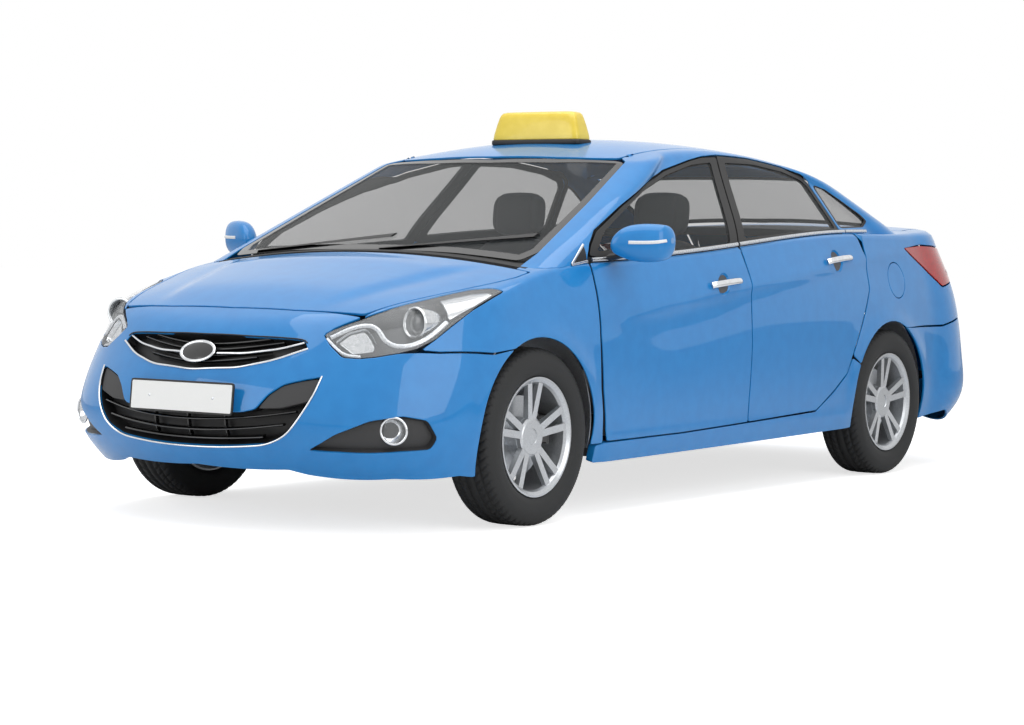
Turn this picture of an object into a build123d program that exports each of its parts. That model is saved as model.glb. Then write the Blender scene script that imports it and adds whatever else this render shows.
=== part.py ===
"""Four-door saloon taxi cab, front towards -Y, left side +X, +Z up, origin on the ground under its middle.

Millimetres. The outer body is two lofts of plan outlines, the lower body and the glasshouse, each trimmed
by a loft of crowned arcs that gives the bonnet, deck and roof. Panels are pieces of the skin between such
a body and the same body drawn in by the wall's thickness, divided by prisms along the shut lines.
"""
from build123d import *
import os
from functools import lru_cache
from math import cos, hypot, radians, sin

os.makedirs("parts", exist_ok=True)

# ---- driving dimensions -------------------------------------------------------------------------------
FRONT_AXLE_Y = -1440.0
WHEELBASE = 2770.0
REAR_AXLE_Y = FRONT_AXLE_Y + WHEELBASE
TRACK_HALF = 790.0
TYRE_R = 326.0
TYRE_W = 205.0
RIM_SEAT_R = 203.0
RIM_W = 178.0
RIM_FLANGE_R = 219.0
RIM_WALL = 9.0
HUB_R = 72.0
HUB_BORE_R = 30.0
SPOKE_PAIRS = 5
SPOKE_W = 27.0
SPOKE_SPREAD = 27.0
DISC_R = 148.0
DISC_T = 22.0
ARCH_R = 365.0
LINER_R = 384.0
LINER_T = 5.0
LINER_IN_X = 490.0

GAP = 7.0            # shut lines round panels that open
SEAM = 0.4           # seats of fixed pieces on one another
SKIN = 35.0          # bumper, wing and bonnet depth
DOOR_T = 80.0        # door and sill depth below the waist
FRAME_T = 30.0       # window frame and pillar depth above the waist
DOOR_FLANGE = 20.0   # outer skin flange of a door, before its inner frame steps in
FRAME_FLANGE = 12.0
INSET = 25.0         # step from a door's outline to its inner frame
GLASS_T = 5.0
GLASS_IN = 6.0       # glass set in behind the outer surface

BONNET_T = 28.0      # depth of the bonnet under its outer surface
BONNET_NOSE_GAP = 6.0
BONNET_SIDE_GAP = 3.0
LAMP_T = 60.0        # depth of the lamps behind the outer surface
FLOOR_T = 15.0
POST_IN = (70.0, 125.0)     # hinge post, from and to this far inboard of the lower body's side
PILLAR_IN = (70.0, 122.0)   # centre pillar, likewise
UPPER_POST_IN = (12.0, 52.0)
KINGPIN_X = 740.0

BOX = 3000.0         # reach of cutting tools
CUT_FAR = 4 * BOX


# ---- outer surfaces -----------------------------------------------------------------------------------
# Plan outlines of the lower body, by height: z, nose y, nose corner x, y, front of side x, y, half width,
# rear of side x, y, tail corner x, y, tail y.
LOWER = [
    (190, -2255, 480, -2170, 850, -1820, 868, 852, 1760, 600, 2170, 2250),
    (300, -2345, 520, -2255, 872, -1840, 888, 870, 1790, 640, 2270, 2345),
    (480, -2370, 530, -2262, 885, -1850, 901, 881, 1810, 650, 2290, 2370),
    (690, -2250, 490, -2165, 880, -1700, 907, 877, 1800, 650, 2250, 2335),
    (860, -2130, 520, -2030, 850, -1500, 899, 860, 1770, 640, 2190, 2275),
    (1000, -2060, 560, -1900, 812, -1450, 858, 832, 1730, 620, 2130, 2235),
    (1140, -1990, 560, -1850, 780, -1400, 815, 800, 1700, 600, 2080, 2200),
]
# Glasshouse outlines, same columns.
UPPER = [
    (900, -1520, 755, -1440, 838, -1240, 852, 815, 1560, 690, 1960, 2110),
    (1010, -1300, 722, -1200, 820, -1060, 846, 790, 1450, 660, 1830, 1940),
    (1180, -915, 660, -830, 740, -640, 760, 712, 1230, 610, 1500, 1600),
    (1350, -560, 600, -462, 640, -260, 650, 630, 850, 560, 1080, 1180),
    (1500, -250, 545, -150, 562, -60, 566, 560, 420, 520, 640, 760),
]
# Crowned top of the lower body: y, height on the centre line, fall at the reference half width.
DECK = [
    (-2420, 600, 60), (-2113, 787, 72), (-1700, 915, 75), (-1300, 1000, 68), (-900, 1012, 50),
    (0, 1052, 34), (1034, 1102, 26), (1732, 1118, 36), (2200, 1122, 44), (2420, 1080, 50),
]
DECK_REF_X = 850.0
# Crowned roof: same columns.
ROOF = [
    (-1700, 900, 30), (-900, 1255, 30), (-530, 1375, 34), (-200, 1444, 42), (150, 1470, 46),
    (600, 1456, 50), (1090, 1385, 50), (1500, 1262, 46), (2150, 1030, 40),
]
ROOF_REF_X = 560.0
CROWN_X = 1000.0     # half width over which the crowned arcs are drawn


def plan_outline(row, inset=0.0):
    """One horizontal outline, drawn in by inset: a nose arc, two corners, two sides, two corners, a tail arc."""
    z, nose, nose_x, nose_y, front_x, front_y, half, rear_x, rear_y, tail_x, tail_y, tail = row
    a = (nose_x - 0.8 * inset, nose_y + 0.8 * inset)
    b = (front_x - inset, front_y + 0.4 * inset)
    c = (half - inset, 0)
    d = (rear_x - inset, rear_y - 0.4 * inset)
    e = (tail_x - 0.8 * inset, tail_y - 0.8 * inset)

    def flip(p):
        return (-p[0], p[1])

    with BuildLine(Plane.XY.offset(z)) as outline:
        front = ThreePointArc(flip(a), (0, nose + inset), a)
        corner = TangentArc(a, b, tangent=front % 1)
        ThreePointArc(b, c, d)
        rear = ThreePointArc(e, (0, tail - inset), flip(e))
        back = TangentArc(e, d, tangent=(rear % 0) * -1)
        ThreePointArc(flip(b), flip(c), flip(d))
        mirror(corner, about=Plane.YZ)
        mirror(back, about=Plane.YZ)
    return make_face(outline.edges())


def crown_section(row, ref_x, bottom, drop=0.0):
    """One cross-section: a crowned arc on top, straight down to bottom."""
    y, top, fall = row
    edge = top - fall * (CROWN_X / ref_x) ** 2 - drop
    with BuildLine(Plane.XZ.offset(-y)) as outline:
        ThreePointArc((-CROWN_X, edge), (0, top - drop), (CROWN_X, edge))
        Polyline((CROWN_X, edge), (CROWN_X, bottom), (-CROWN_X, bottom), (-CROWN_X, edge))
    return make_face(outline.edges())


@lru_cache(maxsize=None)
def lower_body(inset=0.0, drop=0.0):
    """The body below the waist, drawn in by inset at its sides and ends and by drop at its top."""
    walls = loft([plan_outline(row, inset) for row in LOWER])
    return walls & loft([crown_section(row, DECK_REF_X, 100, drop) for row in DECK])


@lru_cache(maxsize=None)
def upper_body(inset=0.0, drop=0.0):
    """The glasshouse, drawn in the same way."""
    walls = loft([plan_outline(row, inset) for row in UPPER])
    return walls & loft([crown_section(row, ROOF_REF_X, 500, drop) for row in ROOF])


LOW = lower_body()
LOW_SKIN = LOW - lower_body(SKIN, SKIN)
UP = upper_body()
UP_SKIN = UP - upper_body(FRAME_T, FRAME_T)


# ---- cutting tools ------------------------------------------------------------------------------------
def side_prism(points, x0=300.0, x1=1200.0):
    """A prism along X over a closed outline of (y, z) points, on the left side."""
    with BuildLine(Plane.YZ.offset(x0)) as outline:
        Polyline(*points, close=True)
    return extrude(make_face(outline.edges()), x1 - x0, dir=(1, 0, 0))


def plan_prism(points, z0=100.0, z1=1600.0):
    """A prism along Z over a closed outline of (x, y) points."""
    with BuildLine(Plane.XY.offset(z0)) as outline:
        Polyline(*points, close=True)
    return extrude(make_face(outline.edges()), z1 - z0, dir=(0, 0, 1))


def front_prism(points, y0, y1):
    """A prism along Y over a closed outline of (x, z) points."""
    with BuildLine(Plane.XZ.offset(-y0)) as outline:
        Polyline(*points, close=True)
    return extrude(make_face(outline.edges()), y1 - y0, dir=(0, 1, 0))


def block(x0, x1, y0, y1, z0, z1):
    """A box between two corners."""
    return Pos((x0 + x1) / 2, (y0 + y1) / 2, (z0 + z1) / 2) * Box(x1 - x0, y1 - y0, z1 - z0)


def rod(x, y, z, radius, length, axis="X"):
    """A cylinder centred at a point, along X, Y or Z."""
    turn = {"X": Rot(0, 90, 0), "Y": Rot(90, 0, 0), "Z": Rot(0, 0, 0)}[axis]
    return Pos(x, y, z) * turn * Cylinder(radius, length)


def grown(points, amount):
    """An outline moved outwards by amount, from its own corners."""
    count = len(points)
    area = sum(points[i][0] * points[(i + 1) % count][1] - points[(i + 1) % count][0] * points[i][1]
               for i in range(count))
    turn = 1.0 if area > 0 else -1.0
    moved = []
    for i, (u, v) in enumerate(points):
        before, after = points[i - 1], points[(i + 1) % count]
        n1 = normal_of(before, (u, v), turn)
        n2 = normal_of((u, v), after, turn)
        share = amount / (1.0 + n1[0] * n2[0] + n1[1] * n2[1])
        moved.append((u + share * (n1[0] + n2[0]), v + share * (n1[1] + n2[1])))
    return moved


def normal_of(start, end, turn):
    """The outward unit normal of one side of an outline."""
    du, dv = end[0] - start[0], end[1] - start[1]
    size = hypot(du, dv)
    return (turn * dv / size, -turn * du / size)


def both(shape):
    """A shape and its mirror image, as one compound."""
    return Compound(children=[*shape.solids(), *mirror(shape, about=Plane.YZ).solids()])


def right(shape):
    """The mirror image on the right-hand side."""
    return mirror(shape, about=Plane.YZ)


def largest(shape):
    """The largest solid of a shape, without slivers."""
    return sorted(shape.solids(), key=lambda s: s.volume)[-1]


def write(name, shape):
    """Writes one node."""
    export_step(shape, f"parts/{name}.step")


# ---- shut lines, as (y, z) outlines on the left side ---------------------------------------------------
DOOR_GAP_Y = GAP + 5.0
B_LINE = [(216, 1395), (34, 1024), (56, 885), (66, 620), (52, 400), (55, 300)]
FRONT_DOOR = [
    (-992, 280), (-1030, 480), (-1051, 690), (-1051, 948), (-1044, 1012), (-945, 1078), (-720, 1168),
    (-489, 1252), (-250, 1322), (-20, 1370), *B_LINE,
]
REAR_DOOR = [
    *[(y + DOOR_GAP_Y, z) for y, z in B_LINE[::-1]],
    (500, 1392), (760, 1366), (957, 1325), (1013, 1078), (1132, 975), (1128, 835), (1040, 690), (905, 470),
    (790, 400), (640, 322),
]
FRONT_WINDOW = [
    (-880, 994), (-880, 1066), (-700, 1140), (-480, 1220), (-240, 1290), (-20, 1336), (145, 1352), (-10, 1042),
]
REAR_WINDOW = [(105, 1058), (262, 1352), (500, 1353), (750, 1330), (905, 1298), (935, 1262), (960, 1100)]
QUARTER_WINDOW = [(1000, 1262), (1052, 1105), (1235, 1118), (1262, 1150), (1150, 1225)]
BELOW_ROOF = [(-BOX, 0), (BOX, 0), (BOX, 1200), (-BOX, 1200)]
PILLAR_HALF = 21.0
BUMPER_FRONT = [
    (-2450, 150), (-2450, 705), (-2169, 700), (-1990, 735), (-1846, 735), (-1846, 655), (-1590, 655),
    (-1590, 150),
]
BUMPER_REAR = [(1683, 150), (1683, 655), (1850, 655), (2000, 683), (2450, 683), (2450, 150)]
TAIL_LAMP = [(1552, 1020), (1720, 925), (1862, 842), (2450, 842), (2450, 1012), (1954, 1016), (1700, 1030)]
TAIL_LAMP_X = 607.0
SILL = [(-1058, 150), (-1058, 272), (-985, 272), (50, 291), (640, 313), (795, 388), (1000, 512), (1000, 150)]
UNDERCUT_REAR = [(1650, 150), (1650, 205), (1830, 272), (2450, 285), (2450, 150)]
FLAP_AT = (1418.0, 872.0)
FLAP_R = 80.0
FLAP_GAP = 5.5
WING_BACK = -1060.0
SIDE_FRONT = -1125.0
POST_CLEAR_X = 848.0

# Plan outlines, as (x, y).
BONNET = [
    (-800, -1392), (-798, -1480), (-775, -1560), (-640, -1900), (-569, -2062), (-300, -2100), (0, -2113),
    (300, -2100), (569, -2062), (640, -1900), (775, -1560), (798, -1480), (800, -1392),
]
BOOT = [
    (-650, 1768), (650, 1768), (690, 1800), (640, 2050), (600, 2180), (600, 2450), (-600, 2450),
    (-600, 2180), (-640, 2050), (-690, 1800),
]
BOOT_BOTTOM = 690.0
# Front outlines, as (x, z).
HEADLAMP = [
    (476, 700), (573, 630), (700, 684), (790, 800), (808, 862), (760, 850), (640, 810), (540, 748),
]
UPPER_GRILLE = [
    (-409, 684), (-200, 690), (0, 692), (200, 690), (409, 684), (436, 652), (330, 612), (200, 582),
    (0, 570), (-200, 582), (-330, 612), (-436, 652),
]
LOWER_GRILLE = [
    (516, 560), (400, 536), (330, 503), (285, 446), (250, 416), (-250, 416), (-285, 446), (-330, 503),
    (-400, 536), (-516, 560), (-497, 505), (-440, 420), (-380, 350), (-310, 313), (-150, 297), (0, 294),
    (150, 297), (310, 313), (380, 350), (440, 420), (497, 505),
]
FOG_POCKET = [
    (516, 308), (560, 300), (700, 298), (800, 306), (838, 345), (805, 412), (742, 428), (650, 398), (570, 345),
]
WINDSCREEN = [
    (-712, 966), (-400, 988), (0, 997), (400, 988), (712, 966), (590, 1348), (300, 1356), (0, 1358),
    (-300, 1356), (-590, 1348),
]
REAR_SCREEN = [(-585, 1116), (0, 1134), (585, 1116), (548, 1325), (0, 1335), (-548, 1325)]
ROOF_HALF = 545.0
SHELF_HALF = 600.0
SHELF_FRONT = 1080.0
SHELF_BACK = 1757.0
COWL_HALF = 762.0
LID_HINGE_X = (-250.0, 250.0)
LID_PIN_R = 4.0
BONNET_AXIS = (-1402.0, 959.0)
BOOT_AXIS = (1776.0, 1105.0)
FLAP_PIN = (875.0, 1346.0)
FLAP_PIN_R = 3.5
COWL = (-1385.0, -1112.0)
COWL_STEP = -1362.0


def slab(low, high, reach=BOX):
    """Everything between two values of x, as a block."""
    return block(low, high, -reach, reach, 0, reach)


LEFT = slab(0, BOX)


# ---- doors --------------------------------------------------------------------------------------------
def door(outline, window):
    """A left door: an outer flange to the outline and an inner frame stepped in, cut by its window."""
    inner = grown(outline, -INSET)
    below = side_prism(BELOW_ROOF)
    panel = (LOW & side_prism(outline) & below) - lower_body(DOOR_FLANGE)
    core = (LOW & side_prism(inner) & below) - lower_body(DOOR_T)
    rim = (UP & side_prism(outline)) - upper_body(FRAME_FLANGE)
    frame = (UP & side_prism(inner)) - upper_body(FRAME_T)
    whole = largest(panel + core + (rim + frame - LOW))
    return largest(whole - side_prism(window))


def mirror_shell():
    """The left door mirror with its foot on the corner of the window frame."""
    shell = Pos(1023, -895, 1033) * Rot(0, 0, 14) * Box(146, 112, 134)
    shell = fillet(shell.edges(), 34)
    foot = Pos(905, -938, 985) * Rot(0, -14, 6) * Box(150, 62, 26)
    return shell + foot


FOOT_INNER_X = 838.0
def hinge_pocket(axis_x, axis_y, z, outboard):
    """The room a door hinge's arm turns in, with the bores of its pin."""
    pocket = block(axis_x - 105, axis_x + outboard, axis_y - 76, axis_y + 9, z - 11, z + 11)
    return pocket + rod(axis_x, axis_y, z, 10, 22, "Z") + rod(axis_x, axis_y, z, PIN_R + PIN_GAP, 52, "Z")


def hinge_arm(axis_x, axis_y, z, reach, root_y):
    """A cranked hinge arm from a pillar, with the pin a door turns on."""
    arm = block(axis_x - reach, axis_x, axis_y - 4, axis_y + 4, z - 5, z + 5)
    arm += block(axis_x - reach - 24, axis_x - reach + 1, root_y, axis_y + 4, z - 5, z + 5)
    return arm + rod(axis_x, axis_y, z, PIN_R, 44, "Z")


FRONT_HINGE = (878.0, -1005.0)
REAR_HINGE = (888.0, 118.0)
FRONT_HINGE_Z = (470.0, 740.0)
REAR_HINGE_Z = (500.0, 740.0)
PIN_R = 5.0
PIN_GAP = 0.3
POCKET_OUT = 6.0     # how far outboard of its pin a door hinge's pocket reaches
door_front = door(FRONT_DOOR, FRONT_WINDOW)
for pin_z in FRONT_HINGE_Z:
    door_front -= hinge_pocket(*FRONT_HINGE, pin_z, POCKET_OUT)
mirror_left = mirror_shell() & slab(FOOT_INNER_X, BOX)
door_front = largest(door_front + mirror_left)
door_rear = door(REAR_DOOR, REAR_WINDOW)
for pin_z in REAR_HINGE_Z:
    door_rear -= hinge_pocket(*REAR_HINGE, pin_z, POCKET_OUT)
door_rear = largest(door_rear)


def pane(outline_prism):
    """A window pane, set in behind the outer surface of the glasshouse."""
    return (upper_body(GLASS_IN) - upper_body(GLASS_IN + GLASS_T)) & outline_prism


glass_front = largest(pane(side_prism(grown(FRONT_WINDOW, -SEAM))))
glass_rear = largest(pane(side_prism(grown(REAR_WINDOW, -SEAM))))
glass_quarter = largest(pane(side_prism(grown(QUARTER_WINDOW, -SEAM))))
windscreen = largest(pane(front_prism(grown(WINDSCREEN, -SEAM), -2000, 0)) - Pos(0, 0, SEAM) * LOW)
rear_screen = largest(pane(front_prism(grown(REAR_SCREEN, -SEAM), 800, 2200)) - Pos(0, 0, SEAM) * LOW)

# ---- openings shared by the neighbouring panels ---------------------------------------------------------
arch_front = rod(800, FRONT_AXLE_Y, TYRE_R, ARCH_R, 700)
arch_rear = rod(800, REAR_AXLE_Y, TYRE_R, ARCH_R, 700)
lamp_prism = front_prism(grown(HEADLAMP, SEAM), -2450, -1538)
bonnet_edge = [(x + (BONNET_SIDE_GAP if y > -1600 else 0) * (1 if x > 0 else -1),
                y - (BONNET_NOSE_GAP if y < -2000 else 0)) for x, y in grown(BONNET, GAP)]
bonnet_hole = plan_prism(bonnet_edge, 720)
boot_hole = plan_prism(grown(BOOT, GAP), BOOT_BOTTOM - GAP)
tail_prism = side_prism(grown(TAIL_LAMP, SEAM), TAIL_LAMP_X - SEAM)
screen_hole = front_prism(WINDSCREEN, -2000, 0) + block(-712, 712, -2000, -1150, 860, 967)
screen_hole += block(-600, 600, -2000, -1150, 860, 990)
rear_hole = front_prism(REAR_SCREEN, 800, 2200) + block(-585, 585, 1400, 2200, 980, 1117)
door_holes = side_prism(grown(FRONT_DOOR, GAP)) + side_prism(grown(REAR_DOOR, GAP))
nose_block = block(-520, 520, -2450, -1990, 600, 840)

# ---- bonnet, boot lid, bumpers and wings ------------------------------------------------------------------
deck_plate = LOW - Pos(0, 0, -BONNET_T) * LOW
bonnet = deck_plate & plan_prism(BONNET, 700)
bonnet = bonnet - both(lamp_prism)
boot_lid = LOW_SKIN & plan_prism(BOOT, BOOT_BOTTOM)
for lid_x in LID_HINGE_X:
    bonnet -= block(lid_x - 11, lid_x + 11, BONNET_AXIS[0] - 12, -1380, 900, BONNET_AXIS[1] + 7)
    bonnet -= rod(lid_x, *BONNET_AXIS, LID_PIN_R + PIN_GAP, 52)
    boot_lid -= block(lid_x - 11, lid_x + 11, 1700, BOOT_AXIS[0] + 10, 900, BOOT_AXIS[1] + 6)
    boot_lid -= rod(lid_x, *BOOT_AXIS, LID_PIN_R + PIN_GAP, 52)
bonnet = largest(bonnet)
boot_lid = largest(boot_lid)

bumper_zone = side_prism(BUMPER_FRONT, -1200, 1200) + nose_block
openings = (front_prism(grown(UPPER_GRILLE, SEAM), -2450, -1990)
            + front_prism(grown(LOWER_GRILLE, SEAM), -2450, -1990)
            + both(front_prism(grown(FOG_POCKET, SEAM), -2450, -1700)))
front_bumper = LOW_SKIN & bumper_zone
front_bumper -= openings
front_bumper -= both(lamp_prism)
front_bumper -= both(arch_front)
front_bumper -= bonnet_hole
front_bumper = largest(front_bumper - block(-400, 400, -2450, -1900, 100, 226))

wing = LOW_SKIN & block(300, 1000, -2450, WING_BACK, 100, 1300)
wing -= side_prism(grown(BUMPER_FRONT, SEAM), -1200, 1200) + block(0, 520 + SEAM, -2450, -1990, 100, 900)
wing = wing - bonnet_hole - lamp_prism - arch_front - block(0, POST_CLEAR_X, -1156, 0, 880, 1300)
wing = largest(wing - block(0, COWL_HALF + SEAM, -1600, 0, 100, 1300))

rear_bumper = LOW_SKIN & side_prism(BUMPER_REAR, -1200, 1200)
rear_bumper -= both(arch_rear)
rear_bumper = largest(rear_bumper - side_prism(UNDERCUT_REAR, -1200, 1200))


def grille_piece(outline, slots, depth=(8.0, 30.0)):
    """A grille filling an opening, with level slots through it."""
    piece = (lower_body(depth[0]) - lower_body(depth[1])) & front_prism(outline, -2450, -1990)
    for x0, x1, z0, z1 in slots:
        piece -= block(x0, x1, -2450, -1990, z0, z1)
    return largest(piece)


upper_grille = grille_piece(UPPER_GRILLE, [(-330, -90, 622, 634), (90, 330, 622, 634), (-330, -90, 654, 672),
                                           (90, 330, 654, 672)])
lower_grille = grille_piece(LOWER_GRILLE, [(-330, 330, 322, 344), (-370, 370, 354, 376), (-400, 400, 386, 406)])
grilles = Compound(children=[upper_grille, lower_grille])

headlamp = largest((LOW - lower_body(LAMP_T, LAMP_T)) & front_prism(HEADLAMP, -2450, -1540))
headlamp = largest(headlamp - bonnet_hole)
tail_lamp = largest((LOW - lower_body(LAMP_T)) & side_prism(TAIL_LAMP, TAIL_LAMP_X))
tail_lamp = largest(tail_lamp - boot_hole)
fog_back = largest((lower_body(26) - lower_body(38)) & front_prism(FOG_POCKET, -2450, -1700))
fog_lamp = largest(fog_back + (rod(729, -2040, 371, 46, 150, "Y") & (lower_body(6) - lower_body(30))))

LID_ARM_DROP = 22.0  # depth of a lid's hinge arm under its pin, below the sweep of the lid's edge


def lid_arm(x, axis_y, axis_z, root_y):
    """A cranked hinge arm under a lid's pin: up from a bar that runs to its root."""
    foot = axis_z - LID_ARM_DROP
    upright = block(x - 5, x + 5, axis_y - 4, axis_y + 4, foot, axis_z + 4)
    return upright + block(x - 5, x + 5, min(root_y, axis_y - 4), max(root_y, axis_y + 4), foot, foot + 8)


# ---- side frame: rail, pillars, sill and rear quarter in one -------------------------------------------------
quarter = LOW_SKIN & block(SHELF_HALF + SEAM, 1000, 700, 2450, 100, 1300)
quarter = quarter - door_holes - arch_rear - boot_hole - tail_prism
quarter -= side_prism(grown(BUMPER_REAR, SEAM), -1200, 1200)
quarter -= rod(900, *FLAP_AT, FLAP_R + FLAP_GAP, 300)
cabin_hole = upper_body(FRAME_T) & block(-1000, 1000, -1112, SHELF_FRONT, 950, 1200)
quarter = largest(quarter - cabin_hole)
sill = (LOW - lower_body(DOOR_T)) & side_prism(SILL)
sill = largest(sill - arch_rear - rod(800, REAR_AXLE_Y, TYRE_R, LINER_R + LINER_T + 1, 700))
post = (lower_body(POST_IN[0]) - lower_body(POST_IN[1])) & side_prism(
    [(SIDE_FRONT, 300), (SIDE_FRONT, 940), (-1036, 940), (-1036, 300)])
post_foot = (LOW - lower_body(POST_IN[1])) & side_prism([(-1058, 190), (-1058, 265), (-985, 265), (-985, 190)])
post_foot += (lower_body(POST_IN[0]) - lower_body(POST_IN[1])) & side_prism(
    [(-1058, 190), (-1058, 320), (-1000, 320), (-1000, 190)])
post_top = (upper_body(UPPER_POST_IN[0]) - upper_body(UPPER_POST_IN[1])) & side_prism(
    [(-1150, 905), (-1150, 1000), (-1060, 1040), (-1060, 905)])
middle = [(y + DOOR_GAP_Y / 2, z) for y, z in B_LINE]
pillar_outline = [(y - PILLAR_HALF, z) for y, z in middle] + [(y + PILLAR_HALF, z) for y, z in middle[::-1]]
pillar_low = (lower_body(PILLAR_IN[0]) - lower_body(PILLAR_IN[1])) & side_prism(pillar_outline)
pillar_foot = (LOW - lower_body(PILLAR_IN[1])) & side_prism([(35, 200), (35, 292), (85, 292), (85, 200)])
pillar_foot += (lower_body(PILLAR_IN[0]) - lower_body(PILLAR_IN[1])) & side_prism(
    [(35, 200), (35, 330), (85, 330), (85, 200)])
pillar_high = (upper_body(24) - upper_body(66)) & side_prism(
    pillar_outline[:1] + [(235, 1412), (275, 1412)] + pillar_outline[-1:] + pillar_outline[-2:-1]
    + pillar_outline[1:2])
glasshouse = (UP_SKIN & LEFT) - screen_hole - rear_hole - door_holes - side_prism(QUARTER_WINDOW)
glasshouse = glasshouse - block(-ROOF_HALF - SEAM, ROOF_HALF + SEAM, -2000, 2000, 1100, 1600)
glasshouse = largest(glasshouse - LOW)
side_frame = quarter + sill + post + post_foot + post_top + pillar_low + pillar_foot + pillar_high + glasshouse
side_frame -= rod(700, FRONT_AXLE_Y, TYRE_R, LINER_R + LINER_T + SEAM, 420)
for pin_z in FRONT_HINGE_Z:
    side_frame += hinge_arm(*FRONT_HINGE, pin_z, 49, -1050)
for pin_z in REAR_HINGE_Z:
    side_frame += hinge_arm(*REAR_HINGE, pin_z, 58, 60)
for side in (-1, 1):
    side_frame -= rod(FLAP_PIN[0], FLAP_PIN[1], FLAP_AT[1] + 50 * side, FLAP_PIN_R + PIN_GAP, 24, "Z")
side_frame = largest(side_frame - block(805, 830, 53, 75, 1012, 1042))

# ---- roof, rear shelf, floor and wheel liners --------------------------------------------------------------
roof_zone = block(-ROOF_HALF, ROOF_HALF, -2000, 2000, 1300, 1600)
roof_panel = largest((UP_SKIN & roof_zone) - screen_hole - rear_hole)
rear_shelf = LOW_SKIN & block(-SHELF_HALF, SHELF_HALF, SHELF_FRONT, SHELF_BACK, 900, 1300)
for lid_x in LID_HINGE_X:
    rear_shelf += lid_arm(lid_x, *BOOT_AXIS, 1740)
    rear_shelf += rod(lid_x, *BOOT_AXIS, LID_PIN_R, 44)
rear_shelf = largest(rear_shelf)

FLOOR = [
    (-1114, 620), (-1030, 330), (-930, 232), (850, 232), (930, 420), (2296, 420), (2296, 405), (942, 405),
    (862, 217), (-938, 217), (-1045, 322), (-1129, 620),
]
FLOOR_HALF = 780.6
BULKHEAD_T = 15.0
with BuildLine(Plane.YZ.offset(-FLOOR_HALF)) as floor_line:
    Polyline(*FLOOR, close=True)
floor_pan = extrude(make_face(floor_line.edges()), 2 * FLOOR_HALF, dir=(1, 0, 0))
LINER_OUT_R = LINER_R + LINER_T
floor_pan = floor_pan & lower_body(SKIN + SEAM, SKIN)
floor_pan -= both(rod(700, FRONT_AXLE_Y, TYRE_R, LINER_OUT_R + SEAM, 430))
floor_pan -= both(rod(700, REAR_AXLE_Y, TYRE_R, LINER_OUT_R + SEAM, 430))
floor_pan -= both(block(715, 900, -1150, -975, 100, 1000) + block(740, 900, 10, 110, 100, 340))
bulkhead = block(-714, 714, SIDE_FRONT - BULKHEAD_T, SIDE_FRONT, 600, 1000) & lower_body(SKIN, SKIN)
bulkhead -= both(rod(700, FRONT_AXLE_Y, TYRE_R, LINER_OUT_R + SEAM, 430))
cowl = LOW_SKIN & block(-COWL_HALF, COWL_HALF, COWL_STEP, COWL[1], 860, 1100)
gutter = Pos(0, 0, -SKIN + 5) * LOW - Pos(0, 0, -SKIN - 10) * LOW
cowl += gutter & block(-COWL_HALF, COWL_HALF, COWL[0], COWL_STEP + 20, 860, 1100)
for lid_x in LID_HINGE_X:
    cowl += lid_arm(lid_x, *BONNET_AXIS, COWL_STEP + 10)
    cowl += rod(lid_x, *BONNET_AXIS, LID_PIN_R, 44)
cowl -= both(block(716, 900, -1156, -1000, 860, 1100))
floor_pan = floor_pan + bulkhead + cowl
floor_pan = largest(floor_pan)


def wheel_liner(axle_y):
    """A left wheelhouse: an arch and its inner wall, inside the body's skin."""
    outer = rod(690, axle_y, TYRE_R, LINER_OUT_R, 400)
    shell = outer - rod(690 + LINER_T, axle_y, TYRE_R, LINER_R, 400)
    inside = lower_body(SKIN + SEAM, SKIN)
    return (shell & inside) - block(0, 1000, -2450, 2450, 0, 262)


liner_front = wheel_liner(FRONT_AXLE_Y) - side_prism([(-2450, 0), (-2450, 280), (-1700, 280), (-1700, 0)])
liner_front = largest(liner_front - side_frame - floor_pan)
liner_rear = wheel_liner(REAR_AXLE_Y) - side_prism(SILL)
liner_rear -= block(480, 520, REAR_AXLE_Y - 62, REAR_AXLE_Y + 62, 0, 398)
liner_rear = largest(liner_rear - side_frame - floor_pan)

# ---- wheels -------------------------------------------------------------------------------------------------


def turned(points, x, y):
    """A ring turned about the axle through (y, wheel centre height), from an (x, radius) outline."""
    with BuildLine(Plane.XY) as outline:
        Polyline(*points, close=True)
    ring = revolve(make_face(outline.edges()), Axis.X)
    return Pos(x, y, TYRE_R) * ring


TYRE_SECTION = [
    (-80, RIM_FLANGE_R + 1), (-102.5, 262), (-97, 303), (-80, 321), (0, TYRE_R), (80, 321), (97, 303),
    (102.5, 262), (80, RIM_FLANGE_R + 1), (62, RIM_SEAT_R + 0.3), (-62, RIM_SEAT_R + 0.3),
]
RIM_SECTION = [
    (-89, RIM_FLANGE_R), (-80.5, RIM_FLANGE_R), (-63, RIM_SEAT_R), (63, RIM_SEAT_R), (80.5, RIM_FLANGE_R),
    (89, RIM_FLANGE_R), (89, 212), (80, 200), (70, 194), (-70, 194), (-80, 200),
    (-89, 212),
]
HUB_SECTION = [(45, 0), (45, 72), (62, 72), (68, 62), (68, 30), (64, 28), (64, 0)]
BELL_SECTION = [
    (45, 0), (45, 74), (2, 74), (2, DISC_R), (-20, DISC_R), (-20, 66), (37, 66), (37, 34), (30, 34), (30, 0),
]
SPOKE_X = (52.0, 72.0)
SPOKE_T = 24.0
SPOKE_R = (58.0, 198.0)
SPOKE_ANGLE = 10.0


def spoke(angle):
    """One spoke: a bar from the hub to the barrel, leaning slightly outwards."""
    with BuildLine(Plane.XZ) as outline:
        Polyline((SPOKE_X[0] - SPOKE_T / 2, SPOKE_R[0]), (SPOKE_X[0] + SPOKE_T / 2, SPOKE_R[0]),
                 (SPOKE_X[1] + SPOKE_T / 2 - 6, SPOKE_R[1]), (SPOKE_X[1] - SPOKE_T / 2, SPOKE_R[1]), close=True)
    bar = extrude(make_face(outline.edges()), SPOKE_W / 2, both=True)
    return Rot(angle, 0, 0) * bar


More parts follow.
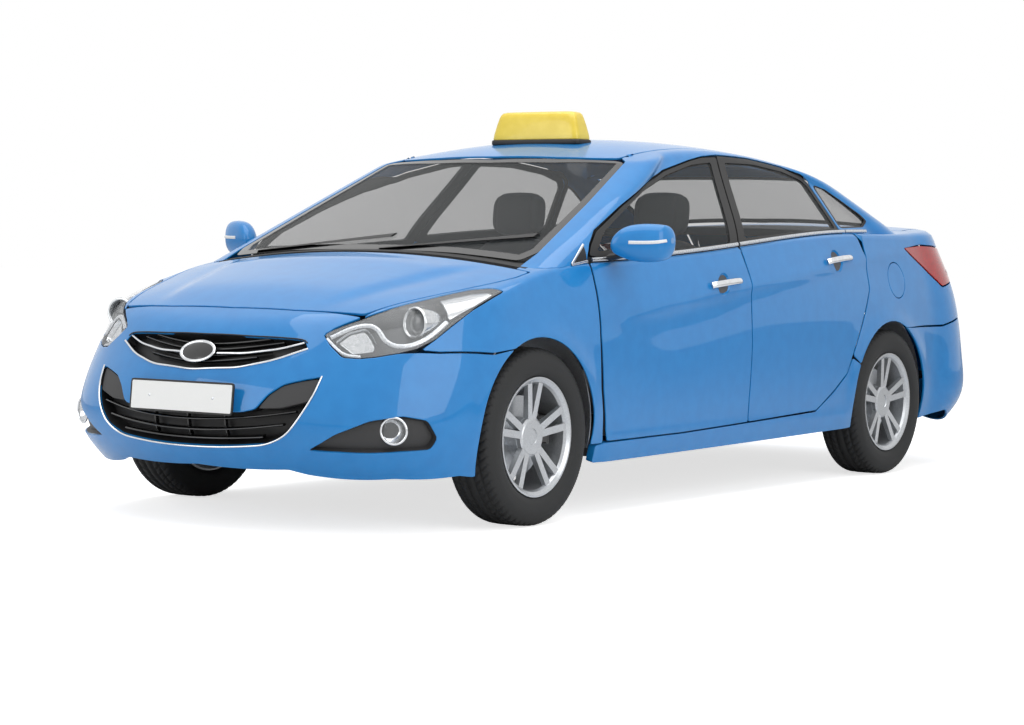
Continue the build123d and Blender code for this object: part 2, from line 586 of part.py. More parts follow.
def wheel(y):
    """A left wheel: rim, spokes, hub, bell and brake disc as one turned and built-up solid."""
    rim = turned(RIM_SECTION, 0, 0) + turned(HUB_SECTION, 0, 0) + turned(BELL_SECTION, 0, 0)
    rim = Pos(0, 0, -TYRE_R) * rim
    for pair in range(SPOKE_PAIRS):
        for side in (-1, 1):
            rim += spoke(360.0 / SPOKE_PAIRS * pair + side * SPOKE_ANGLE)
    return Pos(TRACK_HALF, y, TYRE_R) * largest(rim)


rim_front = wheel(FRONT_AXLE_Y)
rim_rear = Pos(0, WHEELBASE, 0) * rim_front
TYRE_SIDES = 64      # flats round a tyre, few enough to keep its mesh light


def faceted_ring(points, x, y):
    """A ring of flats about an axle, from an (x, radius) outline whose corners all lie on its vertices."""
    turns = [(cos(radians(360.0 / TYRE_SIDES * i)), sin(radians(360.0 / TYRE_SIDES * i)))
             for i in range(TYRE_SIDES + 1)]
    flats = []
    for (x0, r0), (x1, r1) in zip(points, points[1:] + points[:1]):
        for (c0, s0), (c1, s1) in zip(turns, turns[1:]):
            corners = [(x0, r0 * c0, r0 * s0), (x1, r1 * c0, r1 * s0), (x1, r1 * c1, r1 * s1),
                       (x0, r0 * c1, r0 * s1)]
            flats.append(Face(Wire.make_polygon(corners)))
    return Pos(x, y, TYRE_R) * Solid(Shell(flats))


flat_share = cos(radians(180.0 / TYRE_SIDES))
tyre_outline = [(u, r / flat_share if r < 221 else r) for u, r in TYRE_SECTION]
tyre_front = faceted_ring(tyre_outline, TRACK_HALF, FRONT_AXLE_Y)
tyre_rear = Pos(0, WHEELBASE, 0) * tyre_front

# ---- suspension and running gear ------------------------------------------------------------------------------


def caliper(y):
    """A brake caliper bridging the disc, on the side away from the strut."""
    inner = block(735, 764, y + 92, y + 168, 290, 400)
    outer = block(798, 812, y + 100, y + 168, 296, 394)
    bridge = block(735, 812, y + 154, y + 170, 290, 400)
    ring = rod(780, y, TYRE_R, 176, 200) - rod(780, y, TYRE_R, DISC_R + 6, 20)
    return (inner + outer + bridge) & rod(780, y, TYRE_R, 176, 200) - rod(781, y, TYRE_R, DISC_R + 6, 33)


STRUT_X = 636.0
knuckle = (block(630, 752, FRONT_AXLE_Y - 42, FRONT_AXLE_Y + 42, 286, 366)
           + rod(783.85, FRONT_AXLE_Y, TYRE_R, 58, 71.7)
           + rod(STRUT_X, FRONT_AXLE_Y, 500, 25, 400, "Z")
           + rod(STRUT_X, FRONT_AXLE_Y, 600, 40, 150, "Z")
           + block(735, 752, FRONT_AXLE_Y, FRONT_AXLE_Y + 120, 296, 356))
knuckle = largest(knuckle + caliper(FRONT_AXLE_Y))
front_subframe = (block(-420, 420, -1600, -1280, 188, 236)
                  + both(block(400, 700, -1478, -1402, 196, 226))
                  + rod(0, -1290, 262, 19, 960)
                  + both(block(395, 420, -1310, -1270, 220, 280))
                  + both(block(120, 200, -1590, -1340, 230, 269.7)))
front_subframe = largest(front_subframe)
rear_carrier = (block(700, 752, REAR_AXLE_Y - 60, REAR_AXLE_Y + 60, 266, 386) + rod(783.85, REAR_AXLE_Y, TYRE_R, 58, 71.7)
                + block(735, 752, REAR_AXLE_Y - 120, REAR_AXLE_Y, 296, 356)
                + mirror(caliper(REAR_AXLE_Y), about=Plane.XZ.offset(-REAR_AXLE_Y)))
rear_half = largest(rear_carrier + rod(350, REAR_AXLE_Y, TYRE_R, 42, 720)
                    + block(540, 600, 960, REAR_AXLE_Y, 296, 356)
                    + rod(420, REAR_AXLE_Y, 384.35, 55, 40.7, "Z"))
rear_axle = largest(rear_half + right(rear_half))
engine_block = block(-330, 230, -1760, -1330, 270, 830)
exhaust = (rod(260, 300, 178, 27, 2900, "Y") + block(150, 620, 1830, 2110, 190, 330)
           + rod(560, 2200, 240, 30, 250, "Y") + block(370, 390, 1950, 1990, 325, 404.7)
           + block(250, 270, -800, -760, 200, 216.7) + block(250, 270, 600, 640, 200, 216.7))
exhaust = largest(exhaust)

# ---- cabin --------------------------------------------------------------------------------------------------
SEAT_X = 370.0
SEAT_W = 500.0


def lying(points, x, width):
    """A bar across the car over a (y, z) outline, centred at x."""
    with BuildLine(Plane.YZ.offset(x - width / 2)) as outline:
        Polyline(*points, close=True)
    return extrude(make_face(outline.edges()), width, dir=(1, 0, 0))


SEAT_CUSHION = [(-460, 400), (-450, 500), (-420, 520), (60, 480), (90, 460), (90, 370), (-430, 340)]
SEAT_BACK = [(10, 440), (200, 1010), (225, 1052), (262, 1060), (285, 1030), (270, 940), (150, 420), (60, 400)]
HEADREST = [(215, 1085), (232, 1262), (262, 1282), (300, 1270), (312, 1230), (298, 1085)]
seat = fillet(lying(SEAT_CUSHION, SEAT_X, SEAT_W).edges().filter_by(Axis.X), 16)
seat += fillet(lying(SEAT_BACK, SEAT_X, SEAT_W - 30).edges().filter_by(Axis.X), 9)
seat += fillet(lying(HEADREST, SEAT_X, 250).edges().filter_by(Axis.X), 9)
seat += rod(SEAT_X - 60, 258, 1070, 7, 90, "Z") + rod(SEAT_X + 60, 258, 1070, 7, 90, "Z")
seat += block(SEAT_X - 200, SEAT_X - 150, -400, 60, 232.3, 400) + block(SEAT_X + 150, SEAT_X + 200, -400, 60, 232.3, 400)
seat = largest(seat)
REAR_SEAT = [
    (430, 232.3), (400, 440), (420, 470), (850, 430), (1010, 1040), (1060, 1062), (1064, 1000), (965, 420.3),
    (929.6, 420.3), (849.6, 232.3),
]
rear_seat = largest(lying(REAR_SEAT, 0, 1270))
DASHBOARD = [
    (-1124.7, 900), (-1060, 952), (-980, 968), (-860, 950), (-800, 905), (-800, 830), (-850, 700), (-900, 620),
    (-1000, 600), (-1040, 660), (-1124.7, 700),
]
dashboard = lying(DASHBOARD, 0, 1400)
WHEEL_AT = (-SEAT_X, -640.0, 835.0)
column = Pos(-SEAT_X, -735, 795) * Rot(90 - 25, 0, 0) * Cylinder(32, 210)
rim_ring = Pos(*WHEEL_AT) * Rot(90 - 25, 0, 0) * (Torus(176, 15) + Cylinder(62, 34) + Box(350, 36, 16))
dashboard = largest(dashboard + column + rim_ring)

# ---- roof sign, wipers, plates and fuel flap -------------------------------------------------------------------
SIGN_Y = -170.0
SIGN_FOOT = (450.0, 132.0)
SIGN_TOP = (392.0, 72.0)
SIGN_Z = (1462.0, 1576.0)
with BuildSketch(Plane.XY.offset(SIGN_Z[0])) as sign_low:
    RectangleRounded(*SIGN_FOOT, 18)
with BuildSketch(Plane.XY.offset(SIGN_Z[1])) as sign_high:
    RectangleRounded(*SIGN_TOP, 18)
roof_sign = Pos(0, SIGN_Y, 0) * loft([sign_low.sketch, sign_high.sketch])
roof_sign += block(-218, 218, SIGN_Y - 58, SIGN_Y + 58, 1400, SIGN_Z[0])
roof_sign = largest(roof_sign - Pos(0, 0, SEAM) * UP)
WIPER_LEFT = [(40, 1002), (60, 1002), (640, 1052), (640, 1066)]
WIPER_RIGHT = [(-600, 985), (-580, 985), (30, 1046), (30, 1060)]
wiper_skin = (upper_body(-12) - upper_body(GLASS_IN - SEAM)) & block(-720, 720, -1600, -900, 900, 1200)
wipers = [largest((wiper_skin & front_prism(w, -1600, -900)) - Pos(0, 0, SEAM) * LOW) for w in (WIPER_LEFT, WIPER_RIGHT)]
PLATE = (520.0, 14.0, 112.0)
plate_front = Pos(0, -2385, 476) * Box(*PLATE)
plate_front = largest(plate_front + block(-120, 120, -2380, -2300, 440, 512) - lower_body(0) - Pos(0, -SEAM, 0) * LOW)
plate_rear = Pos(0, 2362, 560) * Box(*PLATE)
plate_rear = largest(plate_rear + block(-120, 120, 2300, 2360, 524, 596) - Pos(0, SEAM, 0) * LOW)
fuel_flap = (LOW - lower_body(18)) & rod(900, *FLAP_AT, FLAP_R, 300)
fuel_flap -= block(868, 920, 1330, 1355, 790, 843)
fuel_flap = largest(fuel_flap + rod(*FLAP_PIN, FLAP_AT[1], FLAP_PIN_R, 116, "Z"))

# ---- nodes ----------------------------------------------------------------------------------------------------
PAIRS = {
    "side_frame": side_frame,
    "front_wing": wing,
    "door_front": door_front,
    "door_rear": door_rear,
    "glass_front": glass_front,
    "glass_rear": glass_rear,
    "knuckle": knuckle,
    "wheel_front": rim_front,
    "wheel_rear": rim_rear,
    "tyre_front": tyre_front,
    "tyre_rear": tyre_rear,
}
MIRRORED = {
    "glass_quarter": [glass_quarter],
    "headlamps": [headlamp],
    "tail_lamps": [tail_lamp],
    "fog_lamps": [fog_lamp],
    "front_seats": [seat],
    "wheel_liners": [liner_front, liner_rear],
}
SINGLES = {
    "roof_panel": roof_panel,
    "rear_shelf": rear_shelf,
    "floor_pan": floor_pan,
    "front_bumper": front_bumper,
    "rear_bumper": rear_bumper,
    "grilles": grilles,
    "bonnet": bonnet,
    "boot_lid": boot_lid,
    "windscreen": windscreen,
    "rear_screen": rear_screen,
    "rear_seat": rear_seat,
    "dashboard": dashboard,
    "front_subframe": front_subframe,
    "rear_axle": rear_axle,
    "engine_block": engine_block,
    "exhaust": exhaust,
    "roof_sign": roof_sign,
    "wipers": Compound(children=wipers),
    "number_plates": Compound(children=[plate_front, plate_rear]),
    "fuel_flap": fuel_flap,
}
for name, shape in PAIRS.items():
    write(f"{name}_left", shape)
    write(f"{name}_right", largest(right(shape)))
for name, shapes in MIRRORED.items():
    write(name, Compound(children=[s for shape in shapes for s in both(shape).solids()]))
for name, shape in SINGLES.items():
    write(name, shape)
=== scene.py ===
"""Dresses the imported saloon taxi: painted panels, glass, lamps, wheels, cabin and studio.

Lengths inside the classes are millimetres in the CAD frame (front towards -Y, left side +X, +Z up). They are
turned to metres where a mesh is written.
"""

import logging
from dataclasses import dataclass, field
from enum import Enum
from typing import Callable, Optional, Sequence

import bpy
import numpy as np
from mathutils import Matrix, Vector
from mathutils.geometry import delaunay_2d_cdt


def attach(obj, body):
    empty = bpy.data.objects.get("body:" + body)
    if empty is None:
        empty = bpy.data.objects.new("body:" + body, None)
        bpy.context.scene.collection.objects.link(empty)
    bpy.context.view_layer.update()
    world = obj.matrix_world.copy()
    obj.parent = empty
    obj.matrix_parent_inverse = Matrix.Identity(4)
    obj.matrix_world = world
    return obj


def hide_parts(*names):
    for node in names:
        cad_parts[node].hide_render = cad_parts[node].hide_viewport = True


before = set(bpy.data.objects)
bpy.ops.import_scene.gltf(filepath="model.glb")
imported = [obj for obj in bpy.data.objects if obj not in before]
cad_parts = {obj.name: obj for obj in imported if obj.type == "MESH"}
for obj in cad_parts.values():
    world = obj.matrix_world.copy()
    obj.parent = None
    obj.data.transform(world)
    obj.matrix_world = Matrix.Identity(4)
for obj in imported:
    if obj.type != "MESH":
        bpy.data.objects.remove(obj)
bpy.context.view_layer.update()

logging.basicConfig(level=logging.INFO, format="%(message)s")
LOG = logging.getLogger("taxi")

MM = 0.001
Array = np.ndarray
SHELL = "shell"


class Side(Enum):
    """Which half of the car a piece belongs to, with the sign of its x."""

    LEFT = 1
    RIGHT = -1

    @property
    def word(self) -> str:
        """The side's word in node and body names."""
        return self.name.lower()


# ---- colour and materials -----------------------------------------------------------------------------


def linear(code: str) -> tuple[float, float, float, float]:
    """Turns an sRGB hex colour to linear red, green, blue and alpha.

    Args:
        code: Six hex digits.

    Returns:
        Linear components with alpha 1.
    """
    parts = np.array([int(code[i:i + 2], 16) / 255 for i in (0, 2, 4)])
    low = parts / 12.92
    high = ((parts + 0.055) / 1.055) ** 2.4
    red, green, blue = np.where(parts <= 0.04045, low, high)
    return float(red), float(green), float(blue), 1.0


def add_node(tree: bpy.types.NodeTree, kind: str, settings: Optional[dict] = None,
             inputs: Optional[dict] = None) -> bpy.types.Node:
    """Adds a node, sets its properties, and fills or links its inputs.

    Args:
        tree: The node tree.
        kind: The node's Blender type.
        settings: Property names and values.
        inputs: Input names or indices with a value, or an output socket to link from.

    Returns:
        The new node.
    """
    node = tree.nodes.new(kind)
    for name, value in (settings or {}).items():
        setattr(node, name, value)
    for name, value in (inputs or {}).items():
        if isinstance(value, bpy.types.NodeSocket):
            tree.links.new(value, node.inputs[name])
        else:
            node.inputs[name].default_value = value
    return node


@dataclass(frozen=True)
class Finish:
    """A material: base colour with a fine procedural variation, and the shader's own values.

    The colour swings between two hex values on an object-space noise of a stated size, and the same noise
    raises a fine relief.
    """

    name: str
    colour: str
    second: str
    grain_mm: float = 4.0
    metallic: float = 0.0
    roughness: float = 0.5
    roughness_swing: float = 0.04
    relief_mm: float = 0.0
    coat: float = 0.0
    coat_roughness: float = 0.03
    transmission: float = 0.0
    ior: float = 1.5
    sheen: float = 0.0
    alpha: float = 1.0
    specular: float = 0.5

    def build(self) -> bpy.types.Material:
        """Returns the material, made on first use."""
        known = bpy.data.materials.get(self.name)
        if known:
            return known
        material = bpy.data.materials.new(self.name)
        material.use_nodes = True
        tree = material.node_tree
        tree.nodes.clear()
        place = add_node(tree, "ShaderNodeTexCoord")
        noise = add_node(tree, "ShaderNodeTexNoise", {"noise_dimensions": "3D"},
                         {"Vector": place.outputs["Object"], "Scale": 1.0 / (self.grain_mm * MM),
                          "Detail": 3.0})
        ramp = add_node(tree, "ShaderNodeValToRGB", None, {"Fac": noise.outputs["Fac"]})
        ramp.color_ramp.elements[0].position = 0.35
        ramp.color_ramp.elements[1].position = 0.65
        ramp.color_ramp.elements[0].color = linear(self.colour)
        ramp.color_ramp.elements[1].color = linear(self.second)
        rough = add_node(tree, "ShaderNodeMapRange", None, {
            "Value": noise.outputs["Fac"], "To Min": max(self.roughness - self.roughness_swing, 0.0),
            "To Max": self.roughness + self.roughness_swing})
        shader = add_node(tree, "ShaderNodeBsdfPrincipled", None, {
            "Base Color": ramp.outputs["Color"], "Metallic": self.metallic,
            "Roughness": rough.outputs["Result"], "IOR": self.ior, "Coat Weight": self.coat,
            "Coat Roughness": self.coat_roughness, "Transmission Weight": self.transmission,
            "Sheen Weight": self.sheen, "Alpha": self.alpha, "Specular IOR Level": self.specular})
        if self.relief_mm:
            bump = add_node(tree, "ShaderNodeBump", None, {
                "Height": noise.outputs["Fac"], "Distance": self.relief_mm * MM, "Strength": 0.6})
            tree.links.new(bump.outputs["Normal"], shader.inputs["Normal"])
        out = add_node(tree, "ShaderNodeOutputMaterial", None, {"Surface": shader.outputs["BSDF"]})
        material.node_tree.nodes.active = out
        return material


# Two-coat car paint: clear lacquer over light blue base, so broad soft highlights and a deep colour.
PAINT = Finish("painted_steel_clearcoat_light_blue", "1579BE", "197EC3", grain_mm=60, roughness=0.42,
               roughness_swing=0.01, coat=0.7, specular=0.2)
# Moulded black ABS trim, fine spark-eroded texture: a dull grey-black.
TRIM = Finish("moulded_abs_black_textured", "0B0B0C", "121213", grain_mm=1.2, roughness_swing=0.06,
              relief_mm=0.05)
# Dark grey moulded polypropylene of the bumper inserts.
INSERT = Finish("moulded_polypropylene_dark_grey", "2B2B2C", "323233", grain_mm=1.2, roughness=0.55,
                roughness_swing=0.06, relief_mm=0.05)
# Gloss black acrylic-capped pillars.
PIANO = Finish("moulded_acrylic_capped_black", "060607", "09090A", grain_mm=30, roughness=0.18,
               roughness_swing=0.02, coat=0.6)
# Bright chrome plating on ABS.
CHROME = Finish("electroplated_chrome_bright", "DADCDF", "E4E6E8", grain_mm=20, metallic=1.0, roughness=0.12,
                roughness_swing=0.03)
# Satin anodised aluminium waist strip.
SATIN = Finish("anodised_aluminium_satin", "BFC3C8", "CBCED2", grain_mm=8, metallic=1.0, roughness=0.28,
               roughness_swing=0.05)
# Toughened window glass, grey tint.
GLASS = Finish("float_glass_tinted_grey", "2C3133", "2C3133", grain_mm=80, roughness=0.02,
               roughness_swing=0.0, alpha=0.26)
# Clear polycarbonate lamp cover with a hard coat.
LENS = Finish("moulded_polycarbonate_clear", "E9ECEE", "E9ECEE", grain_mm=80, roughness=0.02,
              roughness_swing=0.0, alpha=0.12)
# Metallised reflector bowls.
REFLECTOR = Finish("vacuum_metallised_aluminium", "C9CCCF", "D6D8DA", grain_mm=12, metallic=1.0,
                   roughness=0.2)
# Grey satin bezel inside the headlamps.
BEZEL = Finish("moulded_pbt_satin_grey", "4B4D50", "56585B", grain_mm=3, metallic=0.25, roughness=0.38,
               roughness_swing=0.05)
# Dark projector lens glass of the headlamps.
PROJECTOR = Finish("pressed_glass_smoked", "3A3E42", "44484C", grain_mm=9, metallic=0.1, roughness=0.08,
                   roughness_swing=0.02, coat=0.8)
# Red acrylic of the tail lamps.
RED_LENS = Finish("moulded_acrylic_red", "A80A0E", "B50D10", grain_mm=25, roughness=0.12,
                  roughness_swing=0.02, coat=0.5, transmission=0.15, ior=1.49)
# Silver lacquered cast alloy wheel.
ALLOY = Finish("cast_aluminium_silver_lacquer", "B4B7BB", "C2C5C8", grain_mm=6, metallic=0.75, roughness=0.3,
               coat=0.5)
# Cured tyre rubber: matt with a faint bloom.
RUBBER = Finish("vulcanised_rubber_tyre", "171819", "1F2021", grain_mm=5, roughness=0.72,
                roughness_swing=0.06, relief_mm=0.12)
# Turned grey iron brake discs and knuckles.
IRON = Finish("cast_iron_machined", "5A5A5B", "6A6968", grain_mm=3, metallic=0.8, roughness=0.45,
              roughness_swing=0.08, relief_mm=0.05)
# Woven seat cloth.
CLOTH = Finish("woven_polyester_grey", "5E5F61", "676869", grain_mm=1.5, roughness=0.92, roughness_swing=0.03,
               relief_mm=0.15, sheen=0.3)
# Soft grained dashboard skin.
GRAIN = Finish("slush_moulded_pvc_grey", "4A4B4D", "545557", grain_mm=2.0, roughness=0.62,
               roughness_swing=0.05, relief_mm=0.12)
# Back-lit yellow opal acrylic of the roof sign.
SIGN = Finish("vacuum_formed_acrylic_yellow", "E3C53C", "EACD49", grain_mm=50, roughness=0.3,
              roughness_swing=0.03, coat=0.4, coat_roughness=0.05, ior=1.49)
# Retro-reflective plate sheet.
PLATE = Finish("reflective_sheet_acrylic_white", "E6E7E6", "EEEFEE", grain_mm=0.8, roughness=0.35,
               roughness_swing=0.05, relief_mm=0.02)
# Clear-lensed indicator strips.
INDICATOR = Finish("moulded_acrylic_pale", "D9DADB", "E3E4E5", roughness=0.15, roughness_swing=0.02, coat=0.5)
# Black sound-deadened underbody paint.
UNDERBODY = Finish("stone_chip_coating_black", "131314", "1B1B1C", grain_mm=5, roughness=0.7,
                   roughness_swing=0.06, relief_mm=0.3)
# Aluminised steel of the exhaust.
EXHAUST = Finish("aluminised_steel_tube", "6F6E6B", "7F7D79", grain_mm=6, metallic=0.85, roughness=0.4,
                 roughness_swing=0.08)


# ---- numeric surfaces ---------------------------------------------------------------------------------


def spline_columns(knots: Array, values: Array, at: Array) -> Array:
    """Natural cubic splines through table columns.

    Between two knots the value is the cubic whose second derivatives join those of its neighbours, and they
    are nought at the ends.

    Args:
        knots: Increasing positions, n.
        values: Table, n by m.
        at: Positions to read, k.

    Returns:
        Table of k by m values.
    """
    count = len(knots)
    step = np.diff(knots)
    matrix = np.eye(count)
    right = np.zeros_like(values, dtype=float)
    slopes = np.diff(values, axis=0) / step[:, None]
    inner = np.arange(1, count - 1)
    matrix[inner, inner - 1] = step[:-1]
    matrix[inner, inner] = 2 * (step[:-1] + step[1:])
    matrix[inner, inner + 1] = step[1:]
    right[inner] = 6 * np.diff(slopes, axis=0)
    bend = np.linalg.solve(matrix, right)
    seat = np.clip(np.searchsorted(knots, at) - 1, 0, count - 2)
    span = step[seat][:, None]
    left = (at - knots[seat])[:, None] / span
    rest = 1 - left
    return (rest * values[seat] + left * values[seat + 1]
            + span ** 2 / 6 * ((rest ** 3 - rest) * bend[seat] + (left ** 3 - left) * bend[seat + 1]))


def around(count: int) -> Array:
    """Angles of evenly spaced points round a circle."""
    return np.linspace(0, 2 * np.pi, count + 1)[:-1]


def bent(value: Array, power: float) -> Array:
    """A power of a sine or cosine that keeps its sign, which squares up or sharpens an ellipse."""
    return np.sign(value) * np.abs(value) ** power


def arc_through(start: Array, middle: Array, end: Array, count: int) -> Array:
    """Points along circles through three points each.

    Each circle's centre is the meeting of the chords' perpendicular bisectors, and the points divide the
    angle evenly.

    Args:
        start: First points, k by 2.
        middle: Points passed through, k by 2.
        end: Last points, k by 2.
        count: Points on each arc.

    Returns:
        Array of k by count by 2 points.
    """
    chord_a, chord_b = middle - start, end - start
    cross = 2 * (chord_a[:, 0] * chord_b[:, 1] - chord_a[:, 1] * chord_b[:, 0])
    square_a, square_b = (chord_a ** 2).sum(1), (chord_b ** 2).sum(1)
    centre = start + np.stack([chord_b[:, 1] * square_a - chord_a[:, 1] * square_b,
                               chord_a[:, 0] * square_b - chord_b[:, 0] * square_a], 1) / cross[:, None]
    radius = np.hypot(*(start - centre).T)
    first = np.arctan2(*(start - centre).T[::-1])
    sweep = np.arctan2(*(end - centre).T[::-1]) - first
    sweep = (sweep + np.pi) % (2 * np.pi) - np.pi
    angle = first[:, None] + sweep[:, None] * np.linspace(0, 1, count)
    return centre[:, None, :] + radius[:, None, None] * np.stack([np.cos(angle), np.sin(angle)], -1)


def arc_tangent(start: Array, direction: Array, end: Array, count: int) -> Array:
    """Points along arcs that leave a point along a direction and reach another point.

    The middle of such an arc lies on the chord's bisector, at the chord's half length times the tangent of a
    quarter of the sweep.

    Args:
        start: First points, k by 2.
        direction: Unit directions at the start, k by 2.
        end: Last points, k by 2.
        count: Points on each arc.

    Returns:
        Array of k by count by 2 points.
    """
    chord = end - start
    length = np.hypot(*chord.T)
    unit = chord / length[:, None]
    turn = np.arctan2(direction[:, 0] * unit[:, 1] - direction[:, 1] * unit[:, 0], (direction * unit).sum(1))
    side = np.stack([unit[:, 1], -unit[:, 0]], 1)
    middle = (start + end) / 2 + side * (length / 2 * np.tan(turn / 2))[:, None]
    return arc_through(start, middle, end, count)


@dataclass
class Patch:
    """A surface on a grid: points, outward normals, and millimetre coordinates along its two directions."""

    points: Array
    across: Array
    along: Array
    normals: Array = field(init=False)

    def __post_init__(self) -> None:
        """Works out the normals."""
        self.refresh()

    def refresh(self) -> None:
        """Normals are the cross product of the grid's two central differences."""
        rows = np.gradient(self.points, axis=0)
        cols = np.gradient(self.points, axis=1)
        normal = np.cross(cols, rows)
        size = np.linalg.norm(normal, axis=2, keepdims=True)
        self.normals = normal / np.maximum(size, 1e-9)

    def side_mask(self, beyond: float, facing: float) -> Array:
        """Grid points beyond an x whose normals face sideways by more than a share."""
        return (self.points[..., 0] > beyond) & (self.normals[..., 0] > facing)

    def push(self, amount: Array) -> None:
        """Moves the grid along its normals by an amount at each point, then works the normals out again."""
        self.points = self.points + self.normals * amount[..., None]
        self.refresh()

    def read(self, places: Array) -> tuple[Array, Array]:
        """Reads points and normals at places given in the patch's own coordinates.

        Both are bilinear between the four grid points around a place.

        Args:
            places: Array of n by 2, first along the columns, then across the rows.

        Returns:
            Points and unit normals, each n by 3.
        """
        col = np.interp(places[:, 0], self.along, np.arange(len(self.along)))
        row = np.interp(places[:, 1], self.across, np.arange(len(self.across)))
        c0 = np.clip(col.astype(int), 0, len(self.along) - 2)
        r0 = np.clip(row.astype(int), 0, len(self.across) - 2)
        u, v = (col - c0)[:, None], (row - r0)[:, None]

        def mix(grid: Array) -> Array:
            """Bilinear value of one grid."""
            return ((1 - v) * ((1 - u) * grid[r0, c0] + u * grid[r0, c0 + 1])
                    + v * ((1 - u) * grid[r0 + 1, c0] + u * grid[r0 + 1, c0 + 1]))

        normal = mix(self.normals)
        return mix(self.points), normal / np.linalg.norm(normal, axis=1, keepdims=True)

    def place(self, targets: Array, where: Optional[Array] = None) -> Array:
        """Finds the patch coordinates nearest to points, of which some coordinates may be unknown (NaN).

        The nearest point of a thinned grid is taken first, then Gauss-Newton steps on the bilinear surface
        close the rest, counting the known coordinates alone.

        Args:
            targets: Array of n by 3 points.
            where: Optional mask of grid points to start from.

        Returns:
            Array of n by 2 patch coordinates.
        """
        known = ~np.isnan(targets)
        goal = np.where(known, targets, 0.0)
        thin = (slice(None, None, 3), slice(None, None, 3))
        flat = self.points[thin].reshape(-1, 3)
        rows, cols = np.meshgrid(self.across[::3], self.along[::3], indexing="ij")
        starts = np.stack([cols.ravel(), rows.ravel()], 1)
        if where is not None:
            keep = where[thin].ravel()
            flat, starts = flat[keep], starts[keep]
        gap = (((goal[:, None] - flat[None]) * known[:, None]) ** 2).sum(2)
        at = starts[gap.argmin(1)].astype(float)
        for _ in range(12):
            here = self.read(at)[0]
            slope_a = (self.read(at + [3.0, 0.0])[0] - self.read(at - [3.0, 0.0])[0]) / 6 * known
            slope_b = (self.read(at + [0.0, 3.0])[0] - self.read(at - [0.0, 3.0])[0]) / 6 * known
            miss = (goal - here) * known
            aa, bb, ab = (slope_a ** 2).sum(1), (slope_b ** 2).sum(1), (slope_a * slope_b).sum(1)
            ma, mb = (slope_a * miss).sum(1), (slope_b * miss).sum(1)
            det = np.maximum(aa * bb - ab ** 2, 1e-4)
            move = np.stack([(ma * bb - mb * ab) / det, (mb * aa - ma * ab) / det], 1)
            at = at + np.clip(move, -40, 40)
            at = np.clip(at, [self.along[0], self.across[0]], [self.along[-1], self.across[-1]])
        return at

    def loop(self, corners: Sequence[tuple], step: float = 14.0, radius: float = 12.0,
             where: Optional[Array] = None, closed: bool = True) -> Array:
        """A rounded outline on the patch through points that may each lack one coordinate.

        Args:
            corners: Points (x, y, z), None where a coordinate is left to the surface.
            step: Spacing of the result.
            radius: Corner rounding.
            where: Optional mask of grid points to start from.
            closed: Whether the outline closes.

        Returns:
            Patch coordinates, n by 2.
        """
        rough = np.array([[np.nan if value is None else value for value in point] for point in corners],
                         float)
        solid = self.read(self.place(rough, where))[0]
        return self.place(round_line(solid, step=step, radius=radius, closed=closed), where)


def round_line(points: Sequence[tuple[float, float]], step: float, radius: float = 12.0,
               closed: bool = True) -> Array:
    """A polyline with rounded corners, resampled evenly.

    Each corner gives way to a quadratic curve between points that lie a radius, or just under half a side,
    before and after it.

    Args:
        points: Corner points.
        step: Spacing of the result.
        radius: Distance from a corner at which it starts to round.
        closed: Whether the last point joins the first.

    Returns:
        Array of n by 2 points.
    """
    corner = np.asarray(points, float)
    before = np.roll(corner, 1, axis=0)
    after = np.roll(corner, -1, axis=0)
    back, ahead = before - corner, after - corner
    back_size = np.linalg.norm(back, axis=1, keepdims=True)
    ahead_size = np.linalg.norm(ahead, axis=1, keepdims=True)
    start = corner + back / back_size * np.minimum(radius, 0.48 * back_size)
    end = corner + ahead / ahead_size * np.minimum(radius, 0.48 * ahead_size)
    t = np.linspace(0, 1, 7)[None, :, None]
    bends = (1 - t) ** 2 * start[:, None] + 2 * t * (1 - t) * corner[:, None] + t ** 2 * end[:, None]
    if not closed:
        bends[0] = corner[0]
        bends[-1] = corner[-1]
    line = bends.reshape(-1, corner.shape[1])
    if closed:
        line = np.concatenate([line, line[:1]])
    run = np.concatenate([[0], np.cumsum(np.linalg.norm(np.diff(line, axis=0), axis=1))])
    keep = np.concatenate([[True], np.diff(run) > 1e-6])
    line, run = line[keep], run[keep]
    count = max(int(run[-1] / step), 8)
    at = np.linspace(0, run[-1], count + 1)
    if closed:
        at = at[:-1]
    return np.stack([np.interp(at, run, column) for column in line.T], 1)


def inside(places: Array, loop: Array) -> Array:
    """Even-odd test of places against a closed loop."""
    x, y = places[:, :1], places[:, 1:]
    x0, y0 = loop[:, 0], loop[:, 1]
    x1, y1 = np.roll(x0, -1), np.roll(y0, -1)
    crosses = (y0 > y) != (y1 > y)
    rise = np.where(y1 == y0, 1e-9, y1 - y0)
    at = x0 + (y - y0) * (x1 - x0) / rise
    return ((crosses & (x < at)).sum(1) % 2) == 1


def loop_normals(loop: Array) -> Array:
    """Outward unit normals of a closed loop, from the difference of each point's neighbours."""
    area = 0.5 * np.sum(loop[:, 0] * np.roll(loop[:, 1], -1) - np.roll(loop[:, 0], -1) * loop[:, 1])
    tangent = np.roll(loop, -1, axis=0) - np.roll(loop, 1, axis=0)
    tangent /= np.maximum(np.hypot(*tangent.T), 1e-9)[:, None]
    return np.sign(area) * np.stack([tangent[:, 1], -tangent[:, 0]], 1)


